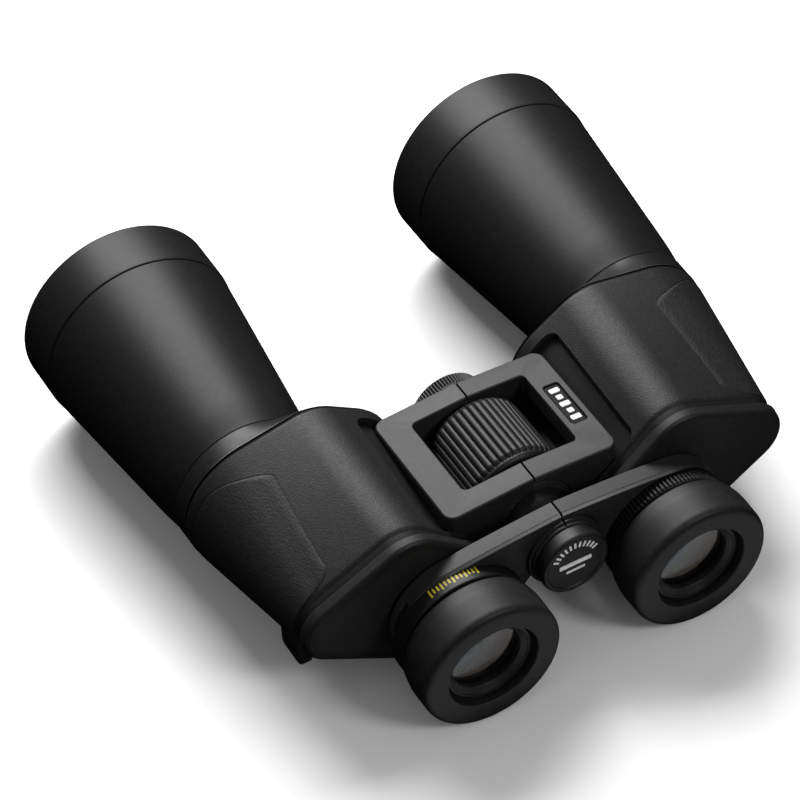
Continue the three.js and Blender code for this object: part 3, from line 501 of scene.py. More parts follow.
FINISHES = {
    "armour": leatherette("armour_rubber", 0.0075, 0.0105, 0.53, 3000, 0.06, 0.36),
    "armour_edge": coated("armour_edge_rubber", 0.006, 0.008, 0.52, 3000, 0.01, 0.25),
    "pad": leatherette("pad_rubber", 0.0075, 0.0105, 0.58, 1700, 0.09, 0.32, (1, 0.6, 1.3)),
    "casting": coated("casting_paint", 0.007, 0.009, 0.55, 1800, 0.015, 0.25),
    "cover": coated("cover_paint", 0.008, 0.011, 0.50, 2600, 0.03, 0.36, 0.02),
    "collar": coated("collar_plastic", 0.007, 0.009, 0.44, 2500, 0.006, 0.32, 0.02),
    "barrel": coated("barrel_paint", 0.007, 0.009, 0.47, 2800, 0.025, 0.25, 0.02),
    "frame": coated("bridge_paint", 0.014, 0.017, 0.47, 2200, 0.004, 0.26, 0.04),
    "inner_plastic": coated("inner_plastic", 0.006, 0.008, 0.42, 2000, 0.01, 0.35),
    "ring": coated("ring_plastic", 0.007, 0.009, 0.44, 2400, 0.01, 0.30, 0.02),
    "eyecup": coated("eyecup_rubber", 0.009, 0.012, 0.52, 2600, 0.022, 0.30),
    "wheel": coated("wheel_rubber", 0.008, 0.010, 0.46, 1800, 0.01, 0.30),
    "badge": coated("badge_plastic", 0.003, 0.004, 0.50, 2000, 0.005, 0.10),
    "steel": metal("turned_steel", (0.45, 0.46, 0.47), (0.58, 0.59, 0.60), 0.30, 900),
    "brass": metal("turned_brass", (0.48, 0.34, 0.14), (0.62, 0.46, 0.21), 0.35, 900),
    "lens_glass": glass("objective_glass", (0.97, 0.98, 0.98), 124.0),
    "prism_glass": glass("prism_glass", (0.95, 0.97, 0.96), 110.0),
}
# The arms' rear chamfer: a lighter copy of the bridge paint, which is a painted highlight, with lower
# roughness and more gloss.
PAINTED_HIGHLIGHT_BEVEL = coated("bridge_bevel_painted_highlight", 0.016, 0.020, 0.30, 2200, 0.003, 0.40)
# The eye lenses carry a painted reflection: an arc at the upper left with a thicker coating.
EYE_GLASS = {
    side: glass(f"{side}_eye_glass", (0.97, 0.98, 0.98), 134.0, 236.0, (EYE[0] * sign, EYE[1]))
    for side, sign in SIDES
}
SLOT_OF = {item["node"]: item["material_slot"] for item in frame["record"]["subparts"]}
WHITE = marking("white_marking", (0.75, 0.75, 0.75))
YELLOW = marking("yellow_marking", (0.50, 0.40, 0.015))


# ---- Pieces ----

SHARP = math.radians(34)
BODY_OF = {node: thing["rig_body"] for node, thing in frame["nodes"].items()}


def piece(name, shape, body, slot, finish, sharp=SHARP, second=None, where=None):
    """A mesh object riding on a body. Faces whose middle passes where() take the second finish."""
    mesh = bpy.data.meshes.new(name)
    points = np.asarray(shape[0]) * MM + np.array(ORIGIN)
    mesh.from_pydata(points.tolist(), [], [list(map(int, face)) for face in shape[1]])
    mesh.materials.append(finish.material)
    if second:
        mesh.materials.append(second.material)
        for polygon in mesh.polygons:
            middle = (polygon.center - ORIGIN) / MM
            polygon.material_index = int(where(middle))
    mesh.shade_smooth()
    mesh.set_sharp_from_angle(angle=sharp)
    thing = bpy.data.objects.new(name, mesh)
    bpy.context.scene.collection.objects.link(thing)
    shading = thing.modifiers.new("shading", "WEIGHTED_NORMAL")
    shading.keep_sharp = True
    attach(thing, body)
    return thing


def refined(node, shape, **options):
    """The finished piece that stands for a CAD node, on its body and with its slot's finish unless another
    is given.
    """
    slot = SLOT_OF[node]
    finish = options.pop("finish", FINISHES[slot])
    made = piece(f"{node}.fine", shape, BODY_OF[node], slot, finish, **options)
    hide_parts(node)
    return made


def pair(name, shape, **options):
    """The same piece on both sides, drawn on the right."""
    refined(f"left_{name}", mirrored(shape), **options)
    refined(f"right_{name}", shape, **options)


# ---- Housings ----

ARMOUR_REAR = span("right_armour")[0].y
STEP_FRONT = ARMOUR_REAR + 3.2  # the armour is smooth and lower up to here
PAD_REAR, PAD_FRONT = span("right_grip_pad")[0].y - 0.4, span("right_grip_pad")[1].y + 0.3
PAD_CORNER = 6.5
PAD_MARGIN = 0.2
PAD_RELIEF = 0.22
FRAME_LOW, FRAME_HIGH = span("right_bridge_frame")
FRAME_CORNER = 3.5
POCKET_MARGIN = 5.5


def pad_outline(grow=0.0, steps=8):
    """(y, z) points of the grip pad seen from the side: taller at the front than at the rear."""
    rear, front = PAD_REAR, PAD_FRONT
    middle = OBJECTIVE[1]
    rear_half, front_half = 15.4, 21.9
    points = []
    corners = (  # y, half height, angle where the corner's arc starts, side of the middle
        (front, front_half, -90, -1),
        (front, front_half, 0, 1),
        (rear, rear_half, 90, 1),
        (rear, rear_half, 180, -1),
    )
    for y, half, start, up in corners:
        corner = PAD_CORNER if y == rear else PAD_CORNER + 2.5
        cy = y - corner if y == front else y + corner
        cz = middle + up * (half - corner)
        for step in range(steps + 1):
            angle = math.radians(start + 90 * step / steps)
            points.append((cy + (corner + grow) * math.cos(angle), cz + (corner + grow) * math.sin(angle)))
    return points


def pad_window(grow):
    x0, x1 = OBJECTIVE[0] - 6, OBJECTIVE[0] + 40
    return loops_to_solid([[(x, y, z) for y, z in pad_outline(grow)] for x in (x0, x1)])


def armour():
    """The rubber skin, with a low smooth lip at the rear, cut back beside the bridge and under the pad."""
    front = HOUSING_FRONT
    stations = [
        (ARMOUR_REAR, -0.9),
        (ARMOUR_REAR + 0.5, -0.7),
        (STEP_FRONT - 0.7, -0.6),
        (STEP_FRONT - 0.2, -0.45),
        (STEP_FRONT + 0.3, -0.12),
        (STEP_FRONT + 1.0, 0.0),
    ]
    stations += [(y, 0.0) for y in np.linspace(STEP_FRONT + 3, front - 1, 22)]
    stations += [(front - 0.3, -0.04), (front, -0.25)]
    inside = even_block(ARMOUR_REAR - 1, front + 1, -ARMOUR, 12)
    edge = FRAME_HIGH.x + POCKET_MARGIN
    pocket = stack(
        lambda grow: rectangle(-edge, FRAME_LOW.y - 0.6, edge, FRAME_HIGH.y + 0.6, FRAME_CORNER, grow),
        [(-2, 0), (60, 0)],
    )
    pad_bed = even_block(PAD_REAR - 3, PAD_FRONT + 3, -PAD_DEPTH - GAP, 12)
    recess = combined(pad_window(PAD_MARGIN), ("DIFFERENCE", pad_bed))
    return combined(block(stations), ("DIFFERENCE", inside), ("DIFFERENCE", pocket), ("DIFFERENCE", recess))


def side_of_housing(y, z, grow):
    """How far out the housing's outer side lies at this height, moved out by grow."""
    ring = outline(y, grow, 900)
    outer = ring[ring[:, 0] > OBJECTIVE[0] - 12]
    order = np.argsort(outer[:, 1])
    return np.interp(z, outer[order, 1], outer[order, 0])


def grip_pad():
    """A rubber pad that follows the housing, a little proud of it and rounded along its edge."""
    edge = evenly(np.array(pad_outline(0.0, 14)), 240)
    middle = edge.mean(axis=0)
    ways = np.roll(edge, -1, axis=0) - np.roll(edge, 1, axis=0)
    ways = np.stack([ways[:, 1], -ways[:, 0]], axis=1)
    ways /= np.linalg.norm(ways, axis=1)[:, None]
    rows = [(share, 0.55, PAD_RELIEF) for share in np.linspace(0.03, 1.0, 40)]
    rows += [(1.0, 0.38, PAD_RELIEF - 0.02), (1.0, 0.18, PAD_RELIEF - 0.1), (1.0, 0.04, PAD_RELIEF - 0.28)]
    rows += [(1.0, 0.0, -0.4), (1.0, 0.0, -PAD_DEPTH)]
    loops = []
    for share, inset, grow in rows:
        flat = middle + (edge - ways * inset - middle) * share
        loops.append([(side_of_housing(y, z, grow), y, z) for y, z in flat])
    back = [(side_of_housing(y, z, -PAD_DEPTH), y, z) for y, z in middle + (edge - middle) * 0.03]
    return loops_to_solid([*loops, back])


def rear_cover():
    """The cover that closes the casting, with a rounded rim and the guide for the ocular tube."""
    front = span("right_rear_cover")[1].y
    low = HOUSING_REAR
    plate_front = low + 3.7
    radius = 1.3
    rim = [
        (low + radius * (1 - math.cos(angle)), 1 - radius * (1 - math.sin(angle)))
        for angle in np.linspace(0, math.pi / 2, 8)
    ]
    stations = [(low, -3.0), (low, -0.6), *rim, (plate_front - 0.35, 1.0), (plate_front, 0.7)]
    bore = 12.4 + GAP
    return combined(
        block(stations),
        ("DIFFERENCE", block([(low + 2.6, INSIDE_OFFSET), (plate_front + 1, INSIDE_OFFSET)])),
        ("UNION", rod(bore + 1.2, low + 1, front, EYE)),
        ("DIFFERENCE", rod(bore, low - 1, front + 1, EYE)),
    )


def casting():
    low, high = span("right_prism_housing")
    return combined(
        even_block(low.y, high.y, CASTING_OFFSET),
        ("DIFFERENCE", even_block(low.y - 1, high.y - 2.5, INSIDE_OFFSET, 12)),
        ("DIFFERENCE", rod(18.8, high.y - 4, high.y + 1, OBJECTIVE)),
    )


def front_collar():
    """The smooth collar that leads from the housing's outline into the round of the barrel."""
    low, high = span("right_front_collar")
    rear, front = low.y - 0.15, high.y
    nose = 24.0
    angles = np.linspace(0, 2 * math.pi, 360, endpoint=False)
    edge = outline(rear, -0.15, 900) - np.array(OBJECTIVE)
    turn = np.arctan2(edge[:, 1], edge[:, 0]) % (2 * math.pi)
    order = np.argsort(turn)
    sizes = np.interp(angles, turn[order], np.hypot(edge[:, 0], edge[:, 1])[order], period=2 * math.pi)
    rows = [(rear, 0.0, 0.3), (rear + 0.25, 0.0, 0.0)]
    for y in np.linspace(rear + 0.6, front - 0.3, 20):
        rows.append((y, ((y - rear - 0.6) / (front - rear - 0.9)) ** 1.3, 0.0))
    rows += [(front, 1.0, 0.3)]
    loops = []
    for y, share, inset in rows:
        size = sizes + (nose - sizes) * share - inset
        x = OBJECTIVE[0] + size * np.cos(angles)
        z = OBJECTIVE[1] + size * np.sin(angles)
        loops.append(np.stack([x, np.full(len(angles), y), z], axis=1))
    return combined(loops_to_solid(loops), ("DIFFERENCE", rod(18.8, rear - 1, front + 1, OBJECTIVE)))


def strap_lug():
    """A loop under the outer side of the housing, with rounded edges and a slot for the strap."""
    low, high = span("right_strap_lug")
    slot_half, bar, slot_height = 3.7, 2.2, 5.0
    middle = (low.y + high.y) / 2
    depth = high.x - low.x

    def ring(x, inset):
        corner = 2.0
        points = rectangle(low.y + inset, low.z + inset, high.y - inset, OBJECTIVE[1], corner)
        return [(x, y, z) for y, z in points]

    body = loops_to_solid([
        ring(low.x, 0.8), ring(low.x + 0.25, 0.25), ring(low.x + 0.8, 0.0),
        ring(low.x + depth - 0.8, 0.0), ring(low.x + depth - 0.25, 0.25), ring(low.x + depth, 0.8),
    ])
    hole = rectangle(middle - slot_half, low.z + bar, middle + slot_half, low.z + bar + slot_height, 1.2)
    slot = loops_to_solid([[(x, y, z) for y, z in hole] for x in (low.x - 1, high.x + 1)])
    housing = even_block(ARMOUR_REAR, HOUSING_FRONT, GAP, 12)
    return combined(body, ("DIFFERENCE", slot), ("DIFFERENCE", housing))


def in_lip(middle):
    return middle.y < STEP_FRONT


def build_housings():
    pair("armour", armour(), second=FINISHES["armour_edge"], where=in_lip)
    pair("grip_pad", grip_pad(), sharp=math.radians(70))
    pair("rear_cover", rear_cover())
    pair("prism_housing", casting())
    pair("front_collar", front_collar())
    pair("strap_lug", strap_lug())


# ---- Barrels and objectives ----

RING_RADIUS, RING_REAR, RING_FRONT = reach("right_objective_ring")
BARREL_RADIUS, SPIGOT_REAR, BARREL_FRONT = reach("right_barrel")
COLLAR_FRONT = span("right_front_collar")[1].y
BARREL_REAR = COLLAR_FRONT + GAP
SEAM_Y = BARREL_FRONT + GAP


def barrel():
    spigot = 18.5
    return turned([
        (spigot, SPIGOT_REAR),
        (spigot, BARREL_REAR),
        (23.6, BARREL_REAR, 0.35),
        (23.75, BARREL_REAR + 1.2),
        (24.3, BARREL_REAR + 4.2, 2.0),
        (25.1, BARREL_REAR + 9.0, 3.0),
        (BARREL_RADIUS, BARREL_FRONT, 0.3),
        (BARREL_RADIUS - 2, BARREL_FRONT),
        (22.7, BARREL_REAR + 6.7),
        (16.5, BARREL_REAR),
        (16.5, SPIGOT_REAR),
    ], OBJECTIVE)


CELL_RADIUS, CELL_REAR, CELL_FRONT = reach("right_objective_cell")


def objective_ring():
    """The hood in front of the lens, with stray-light ridges inside it."""
    inner = CELL_RADIUS + GAP
    ridges = []
    ridge_count, ridge_step = 9, 1.3
    for i in range(ridge_count):
        y = RING_FRONT - 1.9 - i * ridge_step
        ridges += [
            (inner + 0.55, y),
            (inner + 0.05, y - 0.35),
            (inner + 0.05, y - 0.6),
            (inner + 0.55, y - ridge_step + 0.15),
        ]
    skirt = BARREL_RADIUS - 2.8
    return turned([
        (skirt - 0.3, RING_REAR),
        (skirt, SEAM_Y),
        (RING_RADIUS - 0.3, SEAM_Y, 0.3),
        (RING_RADIUS - 0.05, SEAM_Y + 2),
        (RING_RADIUS, RING_FRONT, 0.8),
        (inner + 1.7, RING_FRONT, 0.5),
        (inner + 0.8, RING_FRONT - 1.4),
        *ridges,
        (inner, CELL_FRONT),
        (inner, RING_REAR),
    ], OBJECTIVE)


def objective_cell():
    bore = CELL_RADIUS - 1.6
    lip = bore - 1.2
    return turned([
        (lip, CELL_REAR, 0.2),
        (CELL_RADIUS, CELL_REAR, 0.3),
        (CELL_RADIUS, CELL_FRONT, 0.3),
        (bore, CELL_FRONT, 0.2),
        (bore, CELL_REAR + 1.2),
        (lip, CELL_REAR + 1.2, 0.2),
    ], OBJECTIVE)


def face_points(rim_y, curve, rim, steps=20):
    """A lens face from the axis out to its rim. A positive curve bulges forwards."""
    size = abs(curve)
    points = []
    for i in range(steps + 1):
        radius = rim * i / steps
        rise = math.sqrt(size * size - radius * radius) - math.sqrt(size * size - rim * rim)
        points.append((radius, rim_y + math.copysign(rise, curve)))
    return points


def lens(rim, rear, rear_curve, front, front_curve, axis):
    return turned([*face_points(rear, rear_curve, rim), *face_points(front, front_curve, rim)[::-1]], axis)


def retainer(name, notches):
    """A thin threaded ring with two spanner notches."""
    radius, rear, front = reach(name)
    ring = tube(radius - 1.0, radius, rear, front, OBJECTIVE, 0.15)
    cuts = []
    for turn in range(notches):
        angle = math.pi * turn + 0.6
        x, z = OBJECTIVE[0] + radius * math.cos(angle), OBJECTIVE[1] + radius * math.sin(angle)
        cuts.append(("DIFFERENCE", box((x - 1.2, front - 0.8, z - 1.2), (x + 1.2, front + 1, z + 1.2))))
    return combined(ring, *cuts)


def build_barrels():
    pair("barrel", barrel())
    pair("objective_ring", objective_ring())
    pair("objective_cell", objective_cell())
    rim, flint_rear, flint_front = reach("right_flint_lens")
    _, crown_rear, crown_front = reach("right_crown_lens")
    sag = 90 - math.sqrt(90 * 90 - rim * rim)
    bulge = 110 - math.sqrt(110 * 110 - rim * rim)
    pair("flint_lens", lens(rim, flint_rear + 1.09, -300, flint_front, -90, OBJECTIVE))
    pair("crown_lens", lens(rim, crown_rear + sag, -90, crown_front - bulge, 110, OBJECTIVE))
    pair("objective_retainer", retainer("right_objective_retainer", 2))


# ---- Bridge ----

FRAME_TOP = 15.5
FRAME_DEPTH = 6.5
SLOPE = math.tan(math.radians(3.5))
WINDOW_HALF = 19.15
WINDOW_CORNER = 1.6
WHEEL_RIBS = 42
KNUCKLE_RADIUS = 12.5
TUBE_RADIUS = 6.0
WASHER = 0.9
WHEEL_RADIUS, WHEEL_REAR, WHEEL_FRONT = reach("focus_wheel")
WINDOW_REAR = WHEEL_REAR - WASHER - 3 * GAP
WINDOW_FRONT = WHEEL_FRONT + WASHER + 2 * GAP
FRAME_REAR, FRAME_FRONT = FRAME_LOW.y, FRAME_HIGH.y
FRAME_HALF_WIDTH = 28.85


def frame_outline(grow):
    return rectangle(-FRAME_HALF_WIDTH, FRAME_REAR, FRAME_HALF_WIDTH, FRAME_FRONT, FRAME_CORNER, grow, 10)


def window_outline(grow):
    return rectangle(-WINDOW_HALF, WINDOW_REAR, WINDOW_HALF, WINDOW_FRONT, WINDOW_CORNER, grow, 10)


def soft_top(top, size, direction):
    """Levels (z, grow) of a quarter-round top edge: direction -1 draws an outline in, 1 opens a hole out."""
    angles = np.linspace(0, math.pi / 2, ARC + 1)
    return [(top - size + size * math.sin(a), direction * size * (1 - math.cos(a))) for a in angles]


BADGE_LOW, BADGE_HIGH = span("badge_plate")


def badge_outline(grow):
    return rectangle(BADGE_LOW.x, BADGE_LOW.y, BADGE_HIGH.x, BADGE_HIGH.y, 0.8, grow)


def knuckle_spans():
    """The y spans of the left half's and the right half's knuckles."""
    rear_split = (FRAME_REAR + WINDOW_REAR) / 2
    front_split = (FRAME_FRONT + WINDOW_FRONT) / 2
    half = GAP / 2
    left = [(FRAME_REAR, rear_split - half), (front_split + half, FRAME_FRONT)]
    right = [(rear_split + half, WINDOW_REAR), (WINDOW_FRONT, front_split - half)]
    return left, right


def bridge_half(own, other, seat):
    """Half of the bridge, drawn on the right: a plate with soft edges, webs and interleaved knuckles."""
    bottom = FRAME_TOP - FRAME_DEPTH
    plate = stack(frame_outline, [(bottom, -0.4), (bottom + 0.4, 0), *soft_top(FRAME_TOP, 0.6, -1)])
    hole = stack(window_outline, [(bottom - 5, 0), *soft_top(FRAME_TOP, 0.55, 1), (FRAME_TOP + 5, 0.55)])
    steps = [("DIFFERENCE", sheared(hole, SLOPE))]
    for rear, front in ((FRAME_REAR, WINDOW_REAR), (WINDOW_FRONT, FRAME_FRONT)):
        web = box((KNUCKLE_RADIUS / 2, rear + 0.3, 0), (EYE[0] - 8, front - 0.3, bottom + 1))
        steps.append(("UNION", web))
    steps.append(("DIFFERENCE", box((-60, 0, -50), (HALF_SEAM, 200, 50))))
    for rear, front in own:
        knuckle = turned([(0, rear), (KNUCKLE_RADIUS, rear, 0.5), (KNUCKLE_RADIUS, front, 0.5), (0, front)])
        steps.append(("UNION", knuckle))
    for rear, front in other:
        steps.append(("DIFFERENCE", rod(KNUCKLE_RADIUS + GAP, rear - GAP, front + GAP)))
    steps.append(("DIFFERENCE", rod(TUBE_RADIUS + GAP, FRAME_REAR - 1, FRAME_FRONT + 1)))
    steps.append(("DIFFERENCE", even_block(ARMOUR_REAR, HOUSING_FRONT, CASTING_OFFSET + GAP, 12)))
    if seat:
        lip = [(z, GAP + grow) for z, grow in soft_top(FRAME_TOP, 0.3, 1)]
        sunk = stack(badge_outline, [(FRAME_TOP - 1.1, GAP), *lip, (FRAME_TOP + 4, 0.6)])
        steps.append(("DIFFERENCE", sheared(sunk, SLOPE)))
    return combined(sheared(plate, SLOPE), *steps)


def badge_plate():
    plate = stack(badge_outline, [(FRAME_TOP - 0.8, 0), *soft_top(FRAME_TOP - 0.55, 0.15, -1)])
    return sheared(plate, SLOPE)


def badge_bars():
    """Five plain raised bars across the badge, in place of lettering."""
    middle = (BADGE_LOW.x + BADGE_HIGH.x) / 2
    half = (BADGE_HIGH.x - BADGE_LOW.x) / 2 - 0.75
    count, length = 5, 1.9
    first, last = BADGE_LOW.y + 1.4, BADGE_HIGH.y - 1.4 - length
    bars = []
    for i in range(count):
        y = first + (last - first) * i / (count - 1)
        reach_out = half if i % 2 == 0 else half * 0.62
        bar = stack(
            lambda grow: rectangle(middle - reach_out, y, middle + reach_out, y + length, 0.4, grow),
            [(FRAME_TOP - 0.53, 0), (FRAME_TOP - 0.3, 0), (FRAME_TOP - 0.22, -0.1)],
        )
        bars.append(sheared(bar, SLOPE))
    return joined(bars)


def joined(shapes):
    """Several separate shapes as one."""
    corners, faces, count = [], [], 0
    for points, polygons in shapes:
        corners.append(points)
        faces += [[int(i) + count for i in polygon] for polygon in polygons]
        count += len(points)
    return np.concatenate(corners), faces


# ---- Hinge, wheel and tripod socket ----


def ridges(count, sharpness):
    """Rounded ridges with narrow grooves between them."""
    return lambda angle: 1 - abs(math.cos(count * angle / 2)) ** sharpness


def focus_wheel():
    rear, front, radius = WHEEL_REAR, WHEEL_FRONT, WHEEL_RADIUS
    bore = 12.8
    return turned([
        (bore, rear, 0.2),
        (radius - 1.7, rear, 0.4),
        (radius - 0.75, rear + 0.9, 0.3),
        (radius - 0.75, rear + 1.7, 0.0, 0.05),
        (radius - 0.5, rear + 1.9, 0.0, 0.5),
        (radius, rear + 2.9, 0.6, 0.85),
        (radius, front - 2.4, 0.6, 0.85),
        (radius - 0.9, front - 0.7, 0.5, 0.6),
        (radius - 1.9, front, 0.3, 0.1),
        (bore, front, 0.2),
    ], around=WHEEL_RIBS * 18, groove=ridges(WHEEL_RIBS, 0.38))


def tripod_cap():
    radius, rear, front = reach("tripod_cap")
    stud_hole = rod(3.4, rear - 1, rear + 3.3)
    body = turned([
        (0, rear),
        (radius - 1.4, rear, 0.4),
        (radius - 0.25, rear + 0.9, 0.4),
        (radius - 0.2, rear + 1.9, 0.0),
        (radius, rear + 2.3, 0.0, 0.45),
        (radius, front - 0.7, 0.3, 0.45),
        (radius - 0.9, front, 0.3, 0.1),
        (radius - 2.4, front, 0.3),
        (radius - 2.9, front - 0.8, 0.2),
        (0, front - 0.8),
    ], around=72 * 6, groove=ridges(72, 0.7))
    return combined(body, ("DIFFERENCE", stud_hole))


def hinge_collar():
    """The domed sleeve on the hinge between the bridge and the eyepieces."""
    outer, rear, front = reach("hinge_collar")
    inner = TUBE_RADIUS + GAP
    return turned([
        (inner, rear, 0.3),
        (outer - 2.6, rear, 1.2),
        (outer - 0.6, rear + 2.4, 1.8),
        (outer, front, 0.4),
        (inner, front, 0.2),
    ])


def hinge_tube():
    flange, rear, front = reach("hinge_tube")
    inner = 4.0 + GAP
    return turned([
        (inner, rear, 0.3),
        (TUBE_RADIUS, rear, 0.3),
        (TUBE_RADIUS, front - 0.7),
        (flange, front - 0.7, 0.1),
        (flange, front, 0.25),
        (inner, front, 0.4),
    ])


def plain_tube(node, inner, axis=HINGE, edge=0.2):
    outer, rear, front = reach(node)
    refined(node, tube(inner, outer, rear, front, axis, edge))


def plain_rod(node, edge=0.4):
    outer, rear, front = reach(node)
    refined(node, turned([(0, rear), (outer, rear, edge), (outer, front, edge), (0, front)]))


def build_bridge():
    left, right = knuckle_spans()
    refined("left_bridge_frame", mirrored(bridge_half(left, right, False)))
    refined("right_bridge_frame", bridge_half(right, left, True))
    refined("badge_plate", badge_plate())
    piece("badge_bars", badge_bars(), BODY_OF["badge_plate"], "badge", WHITE)
    refined("focus_wheel", focus_wheel(), sharp=math.radians(50))
    refined("tripod_cap", tripod_cap(), sharp=math.radians(50))
    refined("hinge_collar", hinge_collar())
    refined("hinge_tube", hinge_tube())
    plain_tube("wheel_core", TUBE_RADIUS + GAP)
    plain_tube("rear_thrust_washer", TUBE_RADIUS + GAP)
    plain_tube("front_thrust_washer", TUBE_RADIUS + GAP)
    plain_tube("tripod_socket", 3.4)
    plain_rod("focus_rod")
    plain_rod("cap_stud")


# ---- Eyepiece bridge ----

ARM_LOW, ARM_HIGH = span("right_eyepiece_arm")
ARM_REAR, ARM_FRONT = 20.0, ARM_HIGH.y
ARM_RING_RADIUS = ARM_HIGH.x - EYE[0]
ARM_TOP = ARM_HIGH.z
LIP_RADIUS = 22.4  # outer edge of the arm where it passes over the adjusting ring
RING_SPACE = 21.6
RING_SPACE_FRONT = 23.4
HUB_RADIUS = 12.2
ROD_RADIUS = 4.0
NECK_RADIUS = 12.4


def arm_top_line():
    """(x, z) points along the top of an arm: a shallow arch that runs into the round of the eyepiece."""
    join = math.radians(82)
    end = np.array([EYE[0] + LIP_RADIUS * math.cos(join), EYE[1] + LIP_RADIUS * math.sin(join)])
    start = np.array([HALF_SEAM, ARM_TOP])
    pull = end - 14 * np.array([math.sin(join), -math.cos(join)])
    points = [
        tuple((1 - t) ** 2 * start + 2 * t * (1 - t) * pull + t * t * end)
        for t in np.linspace(0, 1, 24)
    ]
    for share in np.linspace(0, 1, 40)[1:]:
        angle = join + (math.radians(5) - join) * share
        radius = LIP_RADIUS + (ARM_RING_RADIUS + 0.05 - LIP_RADIUS) * share ** 1.6
        points.append((EYE[0] + radius * math.cos(angle), EYE[1] + radius * math.sin(angle)))
    return points


def beam():
    """The arm's beam with a bevel along its rear top edge."""
    top = arm_top_line()
    low = [
        (EYE[0] + 14, EYE[1] - 2),
        (EYE[0] - ARM_RING_RADIUS + 2, EYE[1] - 2),
        (KNUCKLE_RADIUS / 2, 0),
        (HALF_SEAM, KNUCKLE_RADIUS / 2),
    ]
    line = np.array(top + low)
    ways = np.zeros_like(line)
    count = len(top)
    slopes = np.gradient(line[:count], axis=0)
    slopes /= np.linalg.norm(slopes, axis=1)[:, None]
    ways[:count] = np.stack([slopes[:, 1], -slopes[:, 0]], axis=1)
    ways[0] = (0, -1)
    chamfer, rounding = 0.95, 0.35
    levels = [
        (ARM_REAR, chamfer), (ARM_REAR + chamfer * 0.08, chamfer * 0.82), (ARM_REAR + chamfer * 0.9, 0.08),
        (ARM_REAR + chamfer * 1.12, 0), (ARM_FRONT - rounding, 0), (ARM_FRONT, rounding),
    ]
    return loops_to_solid([[(x, y, z) for x, z in line + ways * inset] for y, inset in levels])


def hub_spans():
    low = span("left_eyepiece_arm")[0].y
    split = (low + ARM_FRONT) / 2
    return (low, split - GAP / 2), (split + GAP / 2, ARM_FRONT)


def eyepiece_arm(own, other):
    hub_rear, hub_front = own
    hub = turned([
        (0, hub_rear), (HUB_RADIUS - 0.75, hub_rear, 0.3), (HUB_RADIUS - 0.7, hub_rear + 1.1),
        (HUB_RADIUS, hub_rear + 1.15, 0.25), (HUB_RADIUS, hub_front, 0.3), (0, hub_front),
    ])
    split = box((-HALF_SEAM, hub_rear - 1, HUB_RADIUS - 1.6), (HALF_SEAM, ARM_REAR + 0.5, HUB_RADIUS + 1))
    ring = turned([
        (0, RING_SPACE_FRONT),
        (ARM_RING_RADIUS, RING_SPACE_FRONT, 0.4),
        (ARM_RING_RADIUS, ARM_FRONT, 0.6),
        (0, ARM_FRONT),
    ], EYE)
    return combined(
        beam(),
        ("DIFFERENCE", rod(RING_SPACE, ARM_REAR - 5, RING_SPACE_FRONT, EYE)),
        ("UNION", ring),
        ("DIFFERENCE", rod(HUB_RADIUS + GAP, other[0] - GAP, other[1] + GAP)),
        ("UNION", hub),
        ("DIFFERENCE", split),
        ("DIFFERENCE", rod(NECK_RADIUS + GAP, ARM_REAR - 5, ARM_FRONT + 1, EYE)),
        ("DIFFERENCE", rod(ROD_RADIUS + GAP, ARM_LOW.y - 10, ARM_FRONT + 1)),
    )


def end_cap():
    radius, rear, front = reach("end_cap")
    return turned([
        (0, rear + 0.5),
        (radius - 1.9, rear + 0.5, 0.2),
        (radius - 1.5, rear, 0.35),
        (radius, rear, 1.3),
        (radius, front, 0.3),
        (0, front),
    ])


def cap_marks():
    """An arc of short ticks over two plain bars, in place of lettering."""
    radius, rear, _ = reach("end_cap")
    y0, y1 = rear + 0.47, rear + 0.3
    shapes = []

    def mark(points):
        shapes.append(loops_to_solid([[(x, y, z) for x, z in points] for y in (y0 + 0.1, y1)]))

    middle = radius - 3.6
    for angle in np.radians(np.linspace(150, 30, 11)):
        along = np.array([math.cos(angle), math.sin(angle)])
        across = np.array([-along[1], along[0]])
        half, tall = 0.33, 1.0
        centre_point = along * middle
        signs = ((-half, -tall), (half, -tall), (half, tall), (-half, tall))
        mark([centre_point + across * a + along * b for a, b in signs])
    for z, half_width, tall in ((0.2, 5.4, 0.75), (-2.6, 3.2, 0.4)):
        mark(rectangle(-half_width, z - tall, half_width, z + tall, min(0.35, tall * 0.9)))
    return joined(shapes)


def build_arms():
    left, right = hub_spans()
    # The rear chamfer takes the lighter paint, which is a painted highlight.
    bevel = {"second": PAINTED_HIGHLIGHT_BEVEL, "where": lambda middle: ARM_REAR + 0.02 < middle.y < ARM_REAR + 0.9}
    refined("left_eyepiece_arm", mirrored(eyepiece_arm(left, right)), **bevel)
    refined("right_eyepiece_arm", eyepiece_arm(right, left), **bevel)
    refined("end_cap", end_cap())
    piece("end_cap_marks", cap_marks(), BODY_OF["end_cap"], "ring", WHITE)


# ---- Eyepieces ----

EYECUP_RADIUS, EYECUP_REAR, EYECUP_FRONT = reach("right_eyecup")
OCULAR_RADIUS, OCULAR_REAR, OCULAR_FRONT = reach("right_ocular_tube")
EYECUP_HOLE = 14.8
EYECUP_WALL = 3.4
LENS_SEAT = 9.8
BORE = 14.2


def eyecup():
    inner = reach("right_twist_ring")[0] + GAP
    return turned([
        (EYECUP_HOLE, EYECUP_REAR + 0.25, 0.5),
        (EYECUP_RADIUS - 0.15, EYECUP_REAR, 2.5),
        (EYECUP_RADIUS, EYECUP_REAR + 7.5, 1.0),
        (EYECUP_RADIUS, EYECUP_FRONT - 4.8, 1.0),
        (EYECUP_RADIUS - 0.75, EYECUP_FRONT - 0.6, 0.5),
        (EYECUP_RADIUS - 1.5, EYECUP_FRONT, 0.4),
        (inner, EYECUP_FRONT, 0.2),
        (inner, EYECUP_REAR + EYECUP_WALL),
        (EYECUP_HOLE + 0.3, EYECUP_REAR + EYECUP_WALL, 0.3),
        (EYECUP_HOLE, EYECUP_REAR + 1.6, 0.5),
    ], EYE)


